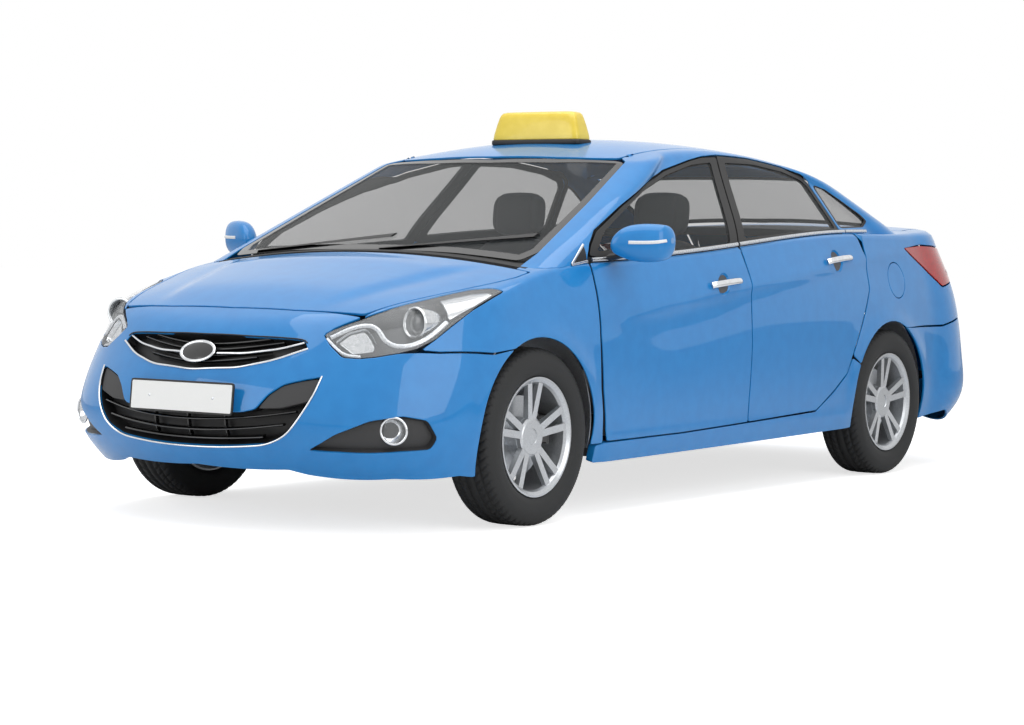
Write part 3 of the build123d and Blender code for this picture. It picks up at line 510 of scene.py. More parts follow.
@dataclass
class Build:
    """Vertices, faces and vertex normals gathered for one object, in millimetres."""

    points: list = field(default_factory=list)
    normals: list = field(default_factory=list)
    faces: list = field(default_factory=list)
    count: int = 0

    def add(self, points: Array, faces: Array, normals: Array) -> None:
        """Adds a block of vertices with faces that count from its own first vertex."""
        self.points.append(points)
        self.normals.append(normals)
        self.faces += (np.asarray(faces) + self.count).tolist()
        self.count += len(points)

    def add_grid(self, grid: Array, normals: Optional[Array] = None, closed: bool = False,
                 flip: bool = False) -> None:
        """Adds a grid of rows by columns by 3, joined to itself along the columns if closed."""
        rows, cols = grid.shape[:2]
        index = np.arange(rows * cols).reshape(rows, cols)
        if closed:
            index = np.concatenate([index, index[:, :1]], axis=1)
        quads = np.stack([index[:-1, :-1], index[:-1, 1:], index[1:, 1:], index[1:, :-1]], -1).reshape(-1, 4)
        if flip:
            quads = quads[:, ::-1]
        if normals is None:
            wrapped = np.concatenate([grid[:, -1:], grid, grid[:, :1]], 1) if closed else grid
            across = np.gradient(grid, axis=0) if rows > 1 else np.zeros_like(grid)
            along = np.gradient(wrapped, axis=1)
            along = along[:, 1:-1] if closed else along
            normals = np.cross(along, across)
            size = np.linalg.norm(normals, axis=2, keepdims=True)
            normals = normals / np.maximum(size, 1e-9) * (-1 if flip else 1)
        self.add(grid.reshape(-1, 3), quads, normals.reshape(-1, 3))

    def add_fan(self, ring: Array, way: Array) -> None:
        """Adds a fan of triangles that closes a ring and faces a direction."""
        middle, count = ring.mean(0), len(ring)
        index = np.arange(count)
        faces = np.stack([index, np.roll(index, -1), np.full(count, count)], 1)
        if np.dot(np.cross(ring[1] - ring[0], middle - ring[0]), way) < 0:
            faces = faces[:, ::-1]
        self.add(np.concatenate([ring, middle[None]]), faces, np.tile(way, (count + 1, 1)))

    def mirrored(self) -> "Build":
        """The mirror image across x = 0, with its faces turned to point outwards again."""
        turn = np.array([-1.0, 1.0, 1.0])
        other = Build()
        other.points = [p * turn for p in self.points]
        other.normals = [n * turn for n in self.normals]
        other.faces = [face[::-1] for face in self.faces]
        other.count = self.count
        return other

    def joined(self, other: "Build") -> "Build":
        """This build with another one added."""
        total = Build(self.points + other.points, self.normals + other.normals,
                      self.faces + [[i + self.count for i in face] for face in other.faces],
                      self.count + other.count)
        return total

    def make(self, name: str, finish: Finish, body: str, slot: str, node: str = "") -> bpy.types.Object:
        """Writes the object, rides it on a body and hides the node it replaces.

        Args:
            name: The piece's name.
            finish: Its material.
            body: The CAD body it moves with.
            slot: Not used.
            node: The node it replaces, if any.

        Returns:
            The new object.
        """
        points = np.concatenate(self.points) * MM
        normals = np.concatenate(self.normals)
        mesh = bpy.data.meshes.new(name)
        mesh.from_pydata(points.tolist(), [], self.faces)
        mesh.update()
        mesh.shade_smooth()
        mesh.normals_split_custom_set_from_vertices(normals.tolist())
        mesh.materials.append(finish.build())
        piece = bpy.data.objects.new(name, mesh)
        bpy.context.scene.collection.objects.link(piece)
        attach(piece, body)
        if node:
            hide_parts(node)
        return piece


@dataclass
class Sheet:
    """A closed thin shell cut from a patch along an outline, with rolled edges and optional holes.

    The face is a constrained triangulation of the outline in the patch's coordinates. Round each outline runs
    a quarter-circle roll, then a wall down to the back, which is the face moved inwards.
    """

    patch: Patch
    outline: Array
    holes: Sequence[Array] = ()
    spacing: float = 22.0
    roll: float = 2.5
    depth: float = 7.0
    lift: float = 0.0

    def build(self) -> Build:
        """Returns the shell's mesh."""
        rings, dirs = [], []
        for number, loop in enumerate([self.outline, *self.holes]):
            out = loop_normals(loop) * (1 if number == 0 else -1)
            rings.append(loop - out * self.roll)
            dirs.append(out)
        low, high = rings[0].min(0), rings[0].max(0)
        grid_a = np.arange(low[0], high[0], self.spacing)
        grid_b = np.arange(low[1], high[1], self.spacing)
        mesh_a, mesh_b = np.meshgrid(grid_a, grid_b)
        mesh_a[1::2] += self.spacing / 2
        fill = np.stack([mesh_a.ravel(), mesh_b.ravel()], 1)
        keep = inside(fill, rings[0])
        for hole in rings[1:]:
            keep &= ~inside(fill, hole)
        fill = fill[keep]
        edge = np.concatenate(rings)
        if len(fill):
            near = ((fill[:, None, :] - edge[None]) ** 2).sum(2).min(1)
            fill = fill[near > (0.45 * self.spacing) ** 2]
        flat = np.concatenate([edge, fill])
        links, first = [], 0
        for ring in rings:
            index = np.arange(len(ring)) + first
            links += np.stack([index, np.roll(index, -1)], 1).tolist()
            first += len(ring)
        verts, _, faces, *_ = delaunay_2d_cdt([Vector(p) for p in flat.tolist()], links, [], 0, 1e-6)
        verts = np.array([tuple(v) for v in verts])
        faces = np.array([f for f in faces if len(f) == 3])
        centre = verts[faces].mean(1)
        keep = inside(centre, rings[0])
        for hole in rings[1:]:
            keep &= ~inside(centre, hole)
        faces = faces[keep]
        area = np.cross(verts[faces[:, 1]] - verts[faces[:, 0]], verts[faces[:, 2]] - verts[faces[:, 0]])
        faces = np.where((area > 0)[:, None], faces, faces[:, ::-1])
        result = Build()
        points, normals = self.patch.read(verts)
        points = points + normals * self.lift
        result.add(points, faces, normals)
        result.add(points - normals * self.depth, faces[:, ::-1], -normals)
        for ring, out in zip(rings, dirs):
            base, normal = self.patch.read(ring)
            ahead = self.patch.read(ring + out)[0] - self.patch.read(ring - out)[0]
            ahead /= np.maximum(np.linalg.norm(ahead, axis=1, keepdims=True), 1e-9)
            base = base + normal * self.lift
            rows, bends = [], []
            for angle in np.linspace(0, np.pi / 2, 4):
                rows.append(base + ahead * self.roll * np.sin(angle) - normal * self.roll
                            * (1 - np.cos(angle)))
                bends.append(normal * np.cos(angle) + ahead * np.sin(angle))
            rows.append(rows[-1] - normal * (self.depth - self.roll))
            bends.append(ahead)
            rows.append(base - normal * self.depth)
            bends.append(-normal)
            loop_area = np.sum(ring[:, 0] * np.roll(ring[:, 1], -1) - np.roll(ring[:, 0], -1) * ring[:, 1])
            grid = np.array(rows)
            turned = (loop_area > 0) == (out is dirs[0])
            result.add_grid(grid, np.array(bends), closed=True, flip=turned)
        return result


# ---- the car's outer surfaces -------------------------------------------------------------------------

# Plan outlines by height: z, nose y, nose corner x, y, front of side x, y, half width, rear of side x, y,
# tail corner x, y, tail y. The part's own tables.
LOWER = np.array([
    (190, -2255, 480, -2170, 850, -1820, 868, 852, 1760, 600, 2170, 2250),
    (300, -2345, 520, -2255, 872, -1840, 888, 870, 1790, 640, 2270, 2345),
    (480, -2370, 530, -2262, 885, -1850, 901, 881, 1810, 650, 2290, 2370),
    (690, -2250, 490, -2165, 880, -1700, 907, 877, 1800, 650, 2250, 2335),
    (860, -2130, 520, -2030, 850, -1500, 899, 860, 1770, 640, 2190, 2275),
    (1000, -2060, 560, -1900, 812, -1450, 858, 832, 1730, 620, 2130, 2235),
    (1140, -1990, 560, -1850, 780, -1400, 815, 800, 1700, 600, 2080, 2200)], float)
UPPER = np.array([
    (900, -1520, 755, -1440, 838, -1240, 852, 815, 1560, 690, 1960, 2110),
    (1010, -1300, 722, -1200, 820, -1060, 846, 790, 1450, 660, 1830, 1940),
    (1180, -915, 660, -830, 740, -640, 760, 712, 1230, 610, 1500, 1600),
    (1350, -560, 600, -462, 640, -260, 650, 630, 850, 560, 1080, 1180),
    (1500, -250, 545, -150, 562, -60, 566, 560, 420, 520, 640, 760)], float)
# Crowned tops: y, height on the centre line, fall at the reference half width.
DECK = np.array([
    (-2420, 600, 60), (-2113, 787, 72), (-1700, 915, 75), (-1300, 1000, 68), (-900, 1012, 50),
    (0, 1052, 34), (1034, 1102, 26), (1732, 1118, 36), (2200, 1122, 44), (2420, 1080, 50)], float)
ROOF = np.array([
    (-1700, 900, 30), (-900, 1255, 30), (-530, 1375, 34), (-200, 1444, 42), (150, 1470, 46),
    (600, 1456, 50), (1090, 1385, 50), (1500, 1262, 46), (2150, 1030, 40)], float)


@dataclass
class Crown:
    """A crowned sheet: height along the centre line, falling with the square of the distance from it."""

    table: Array
    reference: float

    def height(self, x: Array, y: Array) -> Array:
        """Height at plan points."""
        shape = np.shape(y)
        top, fall = spline_columns(self.table[:, 0], self.table[:, 1:], np.ravel(y)).T
        return (top - fall * (np.ravel(x) / self.reference) ** 2).reshape(shape)

    def patch(self, half: float, front: float, back: float, step: float = 20.0) -> Patch:
        """The sheet as a patch whose own coordinates are x and y."""
        along = np.linspace(-half, half, int(2 * half / step) + 1)
        across = np.linspace(front, back, int((back - front) / step) + 1)
        x, y = np.meshgrid(along, across)
        return Patch(np.stack([x, y, self.height(x, y)], -1), across, along)


@dataclass
class Wall:
    """The walls of a body of plan outlines, rolled over at the top into a crowned sheet.

    Each outline is a nose arc, a tangent corner, a side arc, a tangent corner and a tail arc. The wall stops
    short of the crowned sheet, a quadratic curve turns it over, and the sheet goes on inwards a little.
    """

    table: Array
    crown: Crown
    turn: Callable[[Array], Array]
    inward: float
    columns: int = 330
    level_step: float = 10.0
    wall_rows: int = 62
    turn_rows: int = 9
    deck_rows: int = 12
    end_points: int = 41
    corner_points: int = 60
    flank_points: int = 240
    smoothing: float = 2.6

    def outlines(self, heights: Array) -> Array:
        """Left half outlines at a list of heights, as an array of heights by columns by 2."""
        nose, nx, ny, fx, fy, half, rx, ry, tx, ty, tail = spline_columns(
            self.table[:, 0], self.table[:, 1:], heights).T
        zero = np.zeros_like(nose)
        a, b, c = np.stack([nx, ny], 1), np.stack([fx, fy], 1), np.stack([half, zero], 1)
        d, e = np.stack([rx, ry], 1), np.stack([tx, ty], 1)
        whole_end = 2 * self.end_points - 1
        front = arc_through(a * [-1, 1], np.stack([zero, nose], 1), a, whole_end)[:, self.end_points - 1:]
        rear = arc_through(e, np.stack([zero, tail], 1), e * [-1, 1], whole_end)[:, :self.end_points]
        leave = front[:, -1] - front[:, -2]
        leave /= np.linalg.norm(leave, axis=1, keepdims=True)
        reach = rear[:, 0] - rear[:, 1]
        reach /= np.linalg.norm(reach, axis=1, keepdims=True)
        corner = arc_tangent(a, leave, b, self.corner_points)
        side = arc_through(b, c, d, self.flank_points)
        back = arc_tangent(e, reach, d, self.corner_points)[:, ::-1]
        line = np.concatenate([front, corner[:, 1:], side[:, 1:], back[:, 1:], rear[:, 1:]], 1)
        run = np.concatenate([np.zeros((len(line), 1)),
                              np.cumsum(np.linalg.norm(np.diff(line, axis=1), axis=2), axis=1)], 1)
        even = np.stack([np.stack([np.interp(np.linspace(0, r[-1], self.columns), r, p[:, i])
                                   for i in (0, 1)], 1) for r, p in zip(run, line)])
        turn = np.array([-1.0, 1.0])
        whole = np.concatenate([(even * turn)[:, :0:-1], even, (even * turn)[:, -2:0:-1]], 1)
        soft = np.stack([smooth_loop(whole[..., i], self.smoothing) for i in (0, 1)], -1)
        return soft[:, self.columns - 1:2 * self.columns - 1]

    def patch(self) -> Patch:
        """Works out the grid."""
        heights = np.arange(self.table[0, 0], self.table[-1, 0] + 1, self.level_step)
        walls = self.outlines(heights)
        over = heights[:, None] - self.crown.height(walls[..., 0], walls[..., 1])
        first = np.clip((over > 0).argmax(0), 1, len(heights) - 1)
        cols = np.arange(self.columns)
        low, high = over[first - 1, cols], over[first, cols]
        level = heights[first - 1] + (heights[first]
                                      - heights[first - 1]) * np.clip(-low / (high - low), 0, 1)

        def at(z: Array) -> Array:
            """Wall points at a height for each column."""
            row = np.clip((z - heights[0]) / self.level_step, 0, len(heights) - 1.001)
            r0 = row.astype(int)
            share = (row - r0)[..., None]
            return (1 - share) * walls[r0, cols] + share * walls[r0 + 1, cols]

        rim = at(level)
        slope = np.gradient(rim, axis=0)
        inner = np.stack([-slope[:, 1], slope[:, 0]], 1)
        inner /= np.linalg.norm(inner, axis=1, keepdims=True)
        size = self.turn(rim[:, 1])
        share = np.linspace(0, 1, self.wall_rows)[:, None]
        z_rows = heights[0] + share * (level - size - heights[0])
        lower = np.stack([np.concatenate([at(z), z[:, None]], 1) for z in z_rows])
        start = lower[-1]
        middle = np.concatenate([rim, level[:, None]], 1)
        end_plan = rim + inner * size[:, None]
        end = np.concatenate([end_plan, self.crown.height(end_plan[:, 0], end_plan[:, 1])[:, None]], 1)
        t = np.linspace(0, 1, self.turn_rows + 1)[1:, None, None]
        curve = (1 - t) ** 2 * start + 2 * t * (1 - t) * middle + t ** 2 * end
        steps = np.linspace(0, self.inward, self.deck_rows + 1)[1:, None, None]
        deck_plan = end_plan + inner * steps
        deck_z = self.crown.height(deck_plan[..., 0], deck_plan[..., 1])
        grid = np.concatenate([lower, curve, np.concatenate([deck_plan, deck_z[..., None]], -1)])
        grid[:, 0, 0] = 0.0
        grid[:, -1, 0] = 0.0
        along = np.concatenate([[0], np.cumsum(np.linalg.norm(np.diff(grid, axis=1), axis=2).mean(0))])
        across = np.concatenate([[0], np.cumsum(np.linalg.norm(np.diff(grid, axis=0), axis=2).mean(1))])
        return Patch(grid, across, along)


def smooth_loop(rows: Array, width: float) -> Array:
    """Averages closed rows along their length with a Gaussian weight."""
    reach = int(4 * width) + 1
    weight = np.exp(-0.5 * (np.arange(-reach, reach + 1) / width) ** 2)
    weight /= weight.sum()
    padded = np.concatenate([rows[:, -reach:], rows, rows[:, :reach]], axis=1)
    return np.lib.stride_tricks.sliding_window_view(padded, 2 * reach + 1, axis=1) @ weight


def wrap(patch: Patch, at_nose: bool) -> Patch:
    """Joins a left half patch to its mirror image, about the nose or about the tail."""
    other = patch.points[:, ::-1] * [-1, 1, 1]
    if at_nose:
        return Patch(np.concatenate([other[:, :-1], patch.points], 1), patch.across,
                     np.concatenate([-patch.along[:0:-1], patch.along]))
    back = patch.along - patch.along[-1]
    return Patch(np.concatenate([patch.points, other[:, 1:]], 1), patch.across,
                 np.concatenate([back, -back[::-1][1:]]))


def ease(value: Array, low: float, high: float) -> Array:
    """Smooth step from 0 at low to 1 at high: three squares less two cubes of the share."""
    share = np.clip((value - low) / (high - low), 0, 1)
    return share * share * (3 - 2 * share)


@dataclass
class CarBody:
    """All outer surfaces with the pressed creases, arch lips and bonnet ridges."""

    axle_front: float = -1440.0
    axle_rear: float = 1330.0
    axle_z: float = 326.0
    arch: float = 364.0
    arch_half: tuple = (356.0, 353.0)
    arch_shift: tuple = (-7.0, -2.0)
    crease: tuple = ((-1107, 727), (-225, 827), (54, 858), (452, 893), (1141, 970), (1700, 1010))
    crease_depth: float = 11.0
    crease_reach: float = 80.0
    bead_height: float = 2.5
    bead_width: float = 22.0
    lip: float = 9.0
    lip_reach: float = 42.0
    sill_swell: float = 7.0
    ridge_height: float = 9.0
    ridge_dip: float = 4.0
    deck_inward: float = 240.0
    roof_inward: float = 130.0
    side: Patch = field(init=False)
    front: Patch = field(init=False)
    rear: Patch = field(init=False)
    cabin: Patch = field(init=False)
    screen: Patch = field(init=False)
    back_screen: Patch = field(init=False)
    deck: Patch = field(init=False)
    roof: Patch = field(init=False)
    deck_crown: Crown = field(default_factory=lambda: Crown(DECK, 850.0))
    roof_crown: Crown = field(default_factory=lambda: Crown(ROOF, 560.0))

    def __post_init__(self) -> None:
        """Builds and sculpts the patches."""
        def shoulder(y: Array) -> Array:
            """Roll-over size of the waist: large at the nose, tight beside the windows."""
            return 42 - 26 * ease(y, -1750, -1150) + 18 * ease(y, 1250, 1900)

        def gutter(y: Array) -> Array:
            """Roll-over size of the roof edge."""
            return 16 + 14 * ease(y, -450, 0)

        self.side = Wall(LOWER, self.deck_crown, shoulder, self.deck_inward).patch()
        self.press()
        self.front, self.rear = wrap(self.side, True), wrap(self.side, False)
        self.cabin = Wall(UPPER, self.roof_crown, gutter, self.roof_inward).patch()
        self.screen, self.back_screen = wrap(self.cabin, True), wrap(self.cabin, False)
        self.deck = self.deck_crown.patch(860, -2300, 2300)
        self.roof = self.roof_crown.patch(640, -620, 1300)
        self.ridge()

    def press(self) -> None:
        """Presses the side.

        Under the crease line the skin falls in by depth times (t e^(1-t)), t being the distance below it over
        the crease's reach. Round the wheels it swells by the lip size with a Gaussian of the distance from
        the arch.
        """
        x, y, z = np.moveaxis(self.side.points, -1, 0)
        line = np.array(self.crease, float)
        below = np.interp(y, line[:, 0], line[:, 1]) - z
        reach = np.maximum(below, 0) / self.crease_reach
        dent = -self.crease_depth * reach * np.exp(1 - reach)
        span = ease(y, -1060, -500) * (1 - ease(y, 1250, 1720)) * ease(x, 700, 820)
        bead = self.bead_height * np.exp(-(below / self.bead_width) ** 2)
        amount = (dent + bead) * span
        for axle in (self.axle_front, self.axle_rear):
            gap = np.hypot(y - axle, z - self.axle_z) - self.arch
            swell = np.exp(-(np.maximum(gap, 0) / self.lip_reach) ** 2) * ease(z, 200, 420)
            amount = np.where(gap < 160, amount * ease(gap, 20, 160), amount)
            amount = amount + self.lip * swell * ease(x, 600, 760)
        sill = self.sill_swell * ease(-z, -330, -285) * ease(y, -1060, -960) * (1 - ease(y, 900, 1000))
        self.side.push(amount + sill)

    def ridge(self) -> None:
        """Raises the bonnet's two ridges and its middle; each fades out at the bonnet's edges."""
        x, y, _ = np.moveaxis(self.deck.points, -1, 0)
        line = np.interp(y, [-2113, -1392], [330, 560])
        gap = line - np.abs(x)
        step = self.ridge_height * ease(gap, -70, 10) - self.ridge_dip * np.exp(-((gap + 60) / 60) ** 2)
        fade = ease(y, -2105, -1900) * (1 - ease(y, -1560, -1400))
        self.deck.push(step * fade)

    def arch_points(self, axle: float, start: float, end: float, grow: float = 0.0,
                    count: int = 19) -> list[tuple]:
        """Points round a wheel arch, from one angle to another in degrees (0 is rearwards, 90 is up)."""
        angle = np.radians(np.linspace(start, end, count))
        which = 0 if axle < 0 else 1
        y = axle + self.arch_shift[which] + (self.arch_half[which] + grow) * np.cos(angle)
        z = self.axle_z + (self.arch + grow) * np.sin(angle)
        return [(None, float(a), float(b)) for a, b in zip(y, z)]

    def belt(self, stations: Sequence[float], in_by: float = 4.0, up_by: float = 0.0) -> list[tuple]:
        """Points where the deck meets the cabin wall, at given y."""
        y = np.asarray(stations, float)
        x = np.full_like(y, 830.0)
        for _ in range(4):
            z = self.deck_crown.height(x, y)
            goal = np.stack([np.full_like(y, np.nan), y, z], 1)
            mask = (self.cabin.points[..., 0] > 400) & (self.cabin.normals[..., 0] > 0.3)
            x = self.cabin.read(self.cabin.place(goal, mask))[0][:, 0]
        return [(float(a) - in_by, float(b), float(c) + up_by) for a, b, c in zip(x, y, z)]


def side_points(points: Sequence[tuple[float, float]]) -> list[tuple]:
    """Outline points of a side view as points that lack x."""
    return [(None, y, z) for y, z in points]


def front_points(points: Sequence[tuple[float, float]]) -> list[tuple]:
    """Outline points of an end view as points that lack y."""
    return [(x, None, z) for x, z in points]


def flipped(points: Sequence[tuple]) -> list[tuple]:
    """The mirror image of a list of points across x = 0, in reverse order."""
    return [(-p[0], *p[1:]) for p in points[::-1]]


# ---- painted panels -----------------------------------------------------------------------------------

# Window line and door edges, as (y, z) on the left side.
B_LOW = [(34, 1024), (56, 885), (66, 620), (52, 400), (55, 304)]
B_GAP = 6.0
DOOR_BACK_LOW = [(1128, 835), (1040, 690), (905, 470), (790, 400), (640, 322)]
FRONT_WINDOW = [(-985, 1000), (-892, 1074), (-704, 1153), (-482, 1236), (-243, 1307), (-20, 1353),
                (146, 1369), (-20, 1034), (-400, 1010)]
REAR_WINDOW = [(112, 1054), (258, 1370), (500, 1370), (752, 1345), (898, 1312), (935, 1284), (988, 1102),
               (600, 1084)]
QUARTER_WINDOW = [(1004, 1288), (1050, 1110), (1290, 1116), (1326, 1140), (1286, 1170), (1160, 1232),
                  (1070, 1271)]
HANDLES = {"front": (-152.0, 871.0), "rear": (851.0, 962.0)}
HEADLAMP = [(471, -2161, 704), (508, -2170, 669), (562, -2170, 629), (614, -2140, 626), (660, -2104, 632),
            (713, -2049, 645), (753, -1998, 660), (782, -1940, 689), (805, -1867, 738), (830, -1754, 804),
            (838, -1608, 857), (793, -1632, 867), (747, -1683, 861), (720, -1755, 848), (691, -1845, 830),
            (653, -1940, 809), (622, -2013, 787), (577, -2076, 760), (513, -2128, 730)]
BONNET = [(-800, -1392), (-798, -1480), (-775, -1560), (-640, -1900), (-569, -2062), (-300, -2100),
          (0, -2113), (300, -2100), (569, -2062), (640, -1900), (775, -1560), (798, -1480), (800, -1392)]
UPPER_GRILLE = [(-409, 684), (-200, 690), (0, 692), (200, 690), (409, 684), (436, 652), (330, 612),
                (200, 582), (0, 570), (-200, 582), (-330, 612), (-436, 652)]
LOWER_MOUTH = [(0, 430), (254, 432), (310, 445), (349, 498), (394, 533), (456, 550), (520, 562), (508, 489),
               (470, 413), (421, 356), (340, 322), (150, 306), (0, 303), (-150, 306), (-340, 322),
               (-421, 356), (-470, 413), (-508, 489), (-520, 562), (-456, 550), (-394, 533), (-349, 498),
               (-310, 445), (-254, 432)]
FOG_POCKET = [(487, 305), (594, 300), (755, 304), (817, 310), (836, 350), (820, 414), (768, 430), (691, 414),
              (592, 366)]


def both_sides(build: Build, name: str, finish: Finish, body: str, slot: str, node: str = "") -> None:
    """Writes a left piece and its mirror image.

    Args:
        build: The left piece.
        name: Name of the pieces, before the side's word.
        finish: Their material.
        body: The body they ride on, with braces where the side's word goes.
        slot: Their material slot.
        node: The node replaced: one for each side if it has braces, or else by the left piece alone.
    """
    for side in Side:
        form = build if side is Side.LEFT else build.mirrored()
        own = node.format(side.word) if side is Side.LEFT or "{}" in node else ""
        form.make(f"{name}_{side.word}", finish, body.format(side.word), slot, own)


@dataclass
class Panels:
    """Painted steel panels and bumper covers, cut from the outer surfaces along the shut lines."""

    body: CarBody
    skin: float = 5.0
    cup_hole_r: float = 46.0
    card_inset: float = 30.0
    card_depth: float = 62.0
    flap_at: tuple = (1418.0, 872.0)
    flap_hole_r: float = 82.0
    flap_r: float = 79.0
    sill_depth: float = 30.0

    def front_bumper(self) -> None:
        """The bumper cover with holes for the two grilles and the fog pockets."""
        patch = self.body.front
        left = [(0, None, 232), (380, None, 230), (440, None, 214), (700, None, 205), (860, -1865, 203)]
        left += self.body.arch_points(self.body.axle_front, 199.8, 117.5)
        left += [(None, -1720, 634), (804, -1934, 641), (764, -1996, 645)]
        left += list(grown(self.body.side, HEADLAMP, 4.0)[[5, 4, 3, 2, 1, 0, 18]])
        left += [(556, -2086, None), (566, -2071, None), (300, -2106, None), (0, -2119, None)]
        corners = left[:-1] + [left[-1]] + flipped_known(patch, left[1:-1])
        where = patch.points[..., 1] < -1000
        outline = patch.loop(resolved(patch, corners), step=14, radius=8, where=where)
        holes = [patch.loop(front_points(points), step=12, radius=14,
                            where=where & (patch.points[..., 1] < -1500))
                 for points in (UPPER_GRILLE, LOWER_MOUTH)]
        pocket = np.array(resolved(patch, front_points(FOG_POCKET)))
        holes += [patch.loop(pocket * turn, step=12, radius=14, where=where)
                  for turn in (np.ones(3), np.array([-1, 1, 1]))]
        form = Sheet(patch, outline, holes=holes, spacing=24, roll=3.0, depth=9.0).build()
        form.make("bumper_cover_front", PAINT, SHELL, "body_paint", "front_bumper")

    def wing(self) -> None:
        """The front wings, from the bumper and lamp to the door."""
        patch = self.body.side
        edge = side_points([(-1016, 279), (-1033, 400), (-1048, 480), (-1060, 690), (-1060, 930)])
        top = self.body.belt([-1062], in_by=-2.0)
        top += [(806, -1180, None), (786, -1290, None), (735, -1330, None), (735, -1385, None),
                (806, -1387, None), (804, -1480, None), (781, -1562, None), (646, -1902, None),
                (575, -2058, None)]
        lamp = list(grown(patch, HEADLAMP, 4.0)[[17, 16, 15, 14, 13, 12, 11, 10, 9, 8, 7]])
        low = [(766, -1988, 655), (804, -1931, 648), (None, -1720, 641)]
        arch = self.body.arch_points(self.body.axle_front, 116.3, -7.5)
        corners = edge + top + lamp + low + arch
        where = (patch.points[..., 1] < -900)
        outline = patch.loop(resolved(patch, corners), step=14, radius=6, where=where)
        form = Sheet(patch, outline, spacing=24, roll=2.5, depth=self.skin).build()
        both_sides(form, "wing_front", PAINT, SHELL, "body_paint", "front_wing_{}")

    def door_panels(self) -> None:
        """The four door skins below the waist, with a thick inner panel."""
        patch = self.body.side
        where = patch.side_mask(500, -0.2)
        front = side_points([(-1050, 948), (-1050, 690), (-1029, 480), (-990, 286), (-450, 290)])
        front += side_points(B_LOW[::-1])[:-1]
        front += self.body.belt([30, -250, -600, -900, -1050], in_by=-4.0)
        rear = side_points([(y + B_GAP, z) for y, z in B_LOW])
        rear += side_points(DOOR_BACK_LOW[::-1]) + [(None, 1131, 975)]
        rear += self.body.belt([1080, 800, 500, 200, 46], in_by=-4.0)
        for word, corners in (("front", front), ("rear", rear)):
            outline = patch.loop(resolved(patch, corners), step=14, radius=6, where=where)
            cup = patch.place(np.array([[np.nan, HANDLES[word][0] - 8, HANDLES[word][1] - 2]]), where)[0]
            turn = around(40)
            hole = cup + self.cup_hole_r * np.stack([np.cos(turn), np.sin(turn)], 1)
            skin = Sheet(patch, outline, holes=[hole], spacing=24, roll=2.5, depth=self.skin).build()
            centre = outline.mean(0)
            reach = np.linalg.norm(outline - centre, axis=1)[:, None]
            inner = centre + (outline - centre) * (1 - self.card_inset / reach)
            trim = Sheet(patch, inner, spacing=40, roll=8, depth=self.card_depth,
                         lift=-self.skin - 0.5).build()
            body = word + "_door_{}_body"
            both_sides(skin, f"door_skin_{word}", PAINT, body, "body_paint", f"door_{word}_{{}}")
            both_sides(trim, f"door_card_{word}", GRAIN, body, "dash_plastic")

    def quarter(self) -> None:
        """The rear quarters round the arch, from the rear door to the lamps and bumper, and the sills."""
        patch = self.body.side
        where = (patch.points[..., 0] > 450) & (patch.points[..., 1] > -1200)
        corners = side_points([(1137, 835), (1049, 688), (962, 548)])
        corners += self.body.arch_points(self.body.axle_rear, 150, 65.5, grow=0, count=13)
        corners += side_points([(1683, 662), (1850, 662), (2000, 690)])
        corners += front_points([(609, 690), (609, 836)])
        corners += side_points([(1862, 836), (1716, 926), (1545, 1016), (1720, 1034), (1900, 1024)])
        corners += front_points([(760, 1018), (612, 1012)])
        corners += [(619, 2162, None), (655, 2052, None), (698, 1800, None), (660, 1762, None)]
        corners += [(592, 1760, None), (592, 1684, None), (640, 1664, None), (700, 1640, None)]
        corners += self.body.belt([1600, 1400, 1200, 1137], in_by=-2.0)
        rough = resolved(patch, corners, patch.points[..., 1] > 800)
        outline = patch.loop(rough, step=14, radius=6, where=where)
        angle = np.radians(np.arange(0, 360, 10))
        y, z = self.flap_at
        rings = (side_points([(y + radius * np.cos(a), z + radius * np.sin(a)) for a in angle])
                 for radius in (self.flap_hole_r, self.flap_r))
        hole, lid = (patch.loop(ring, step=10, radius=1, where=where) for ring in rings)
        quarter = Sheet(patch, outline, holes=[hole], spacing=24, roll=2.0, depth=self.skin).build()
        both_sides(quarter, "quarter_panel", PAINT, SHELL, "body_paint", "side_frame_{}")
        sill = side_points([(-1060, 270), (-990, 279), (-450, 284), (50, 298), (640, 315), (795, 393),
                            (908, 464), (957, 535)])
        sill += self.body.arch_points(self.body.axle_rear, 150.5, 195.5, grow=0, count=8)
        sill += [(None, -1060, 206)]
        sill_loop = patch.loop(resolved(patch, sill, where), step=14, radius=5, where=where)
        form = Sheet(patch, sill_loop, spacing=24, roll=2.5, depth=self.sill_depth).build()
        both_sides(form, "sill", PAINT, SHELL, "body_paint")
        flap = Sheet(patch, lid, spacing=20, roll=2.0, depth=self.skin).build()
        flap.make("fuel_flap_skin", PAINT, "fuel_flap_body", "body_paint", "fuel_flap")
        flap.mirrored().make("flap_blank_right", PAINT, SHELL, "body_paint")

    def rear_bumper(self) -> None:
        """The rear bumper cover."""
        patch = self.body.rear
        left = [(0, None, 240), (500, None, 240), (None, 1900, 262)]
        left += self.body.arch_points(self.body.axle_rear, -15, 63)[:1]
        left += self.body.arch_points(self.body.axle_rear, -10, 65.5)
        left += [(None, 1850, 654), (None, 2000, 682), (500, None, 682), (0, None, 682)]
        where = (patch.points[..., 1] > 1300)
        corners = resolved(patch, left, where & (patch.points[..., 0] > -5))
        whole = corners + flipped(corners[1:-1])
        outline = patch.loop(whole, step=14, radius=6, where=where)
        form = Sheet(patch, outline, spacing=24, roll=3.0, depth=9.0).build()
        form.make("bumper_cover_rear", PAINT, SHELL, "body_paint", "rear_bumper")

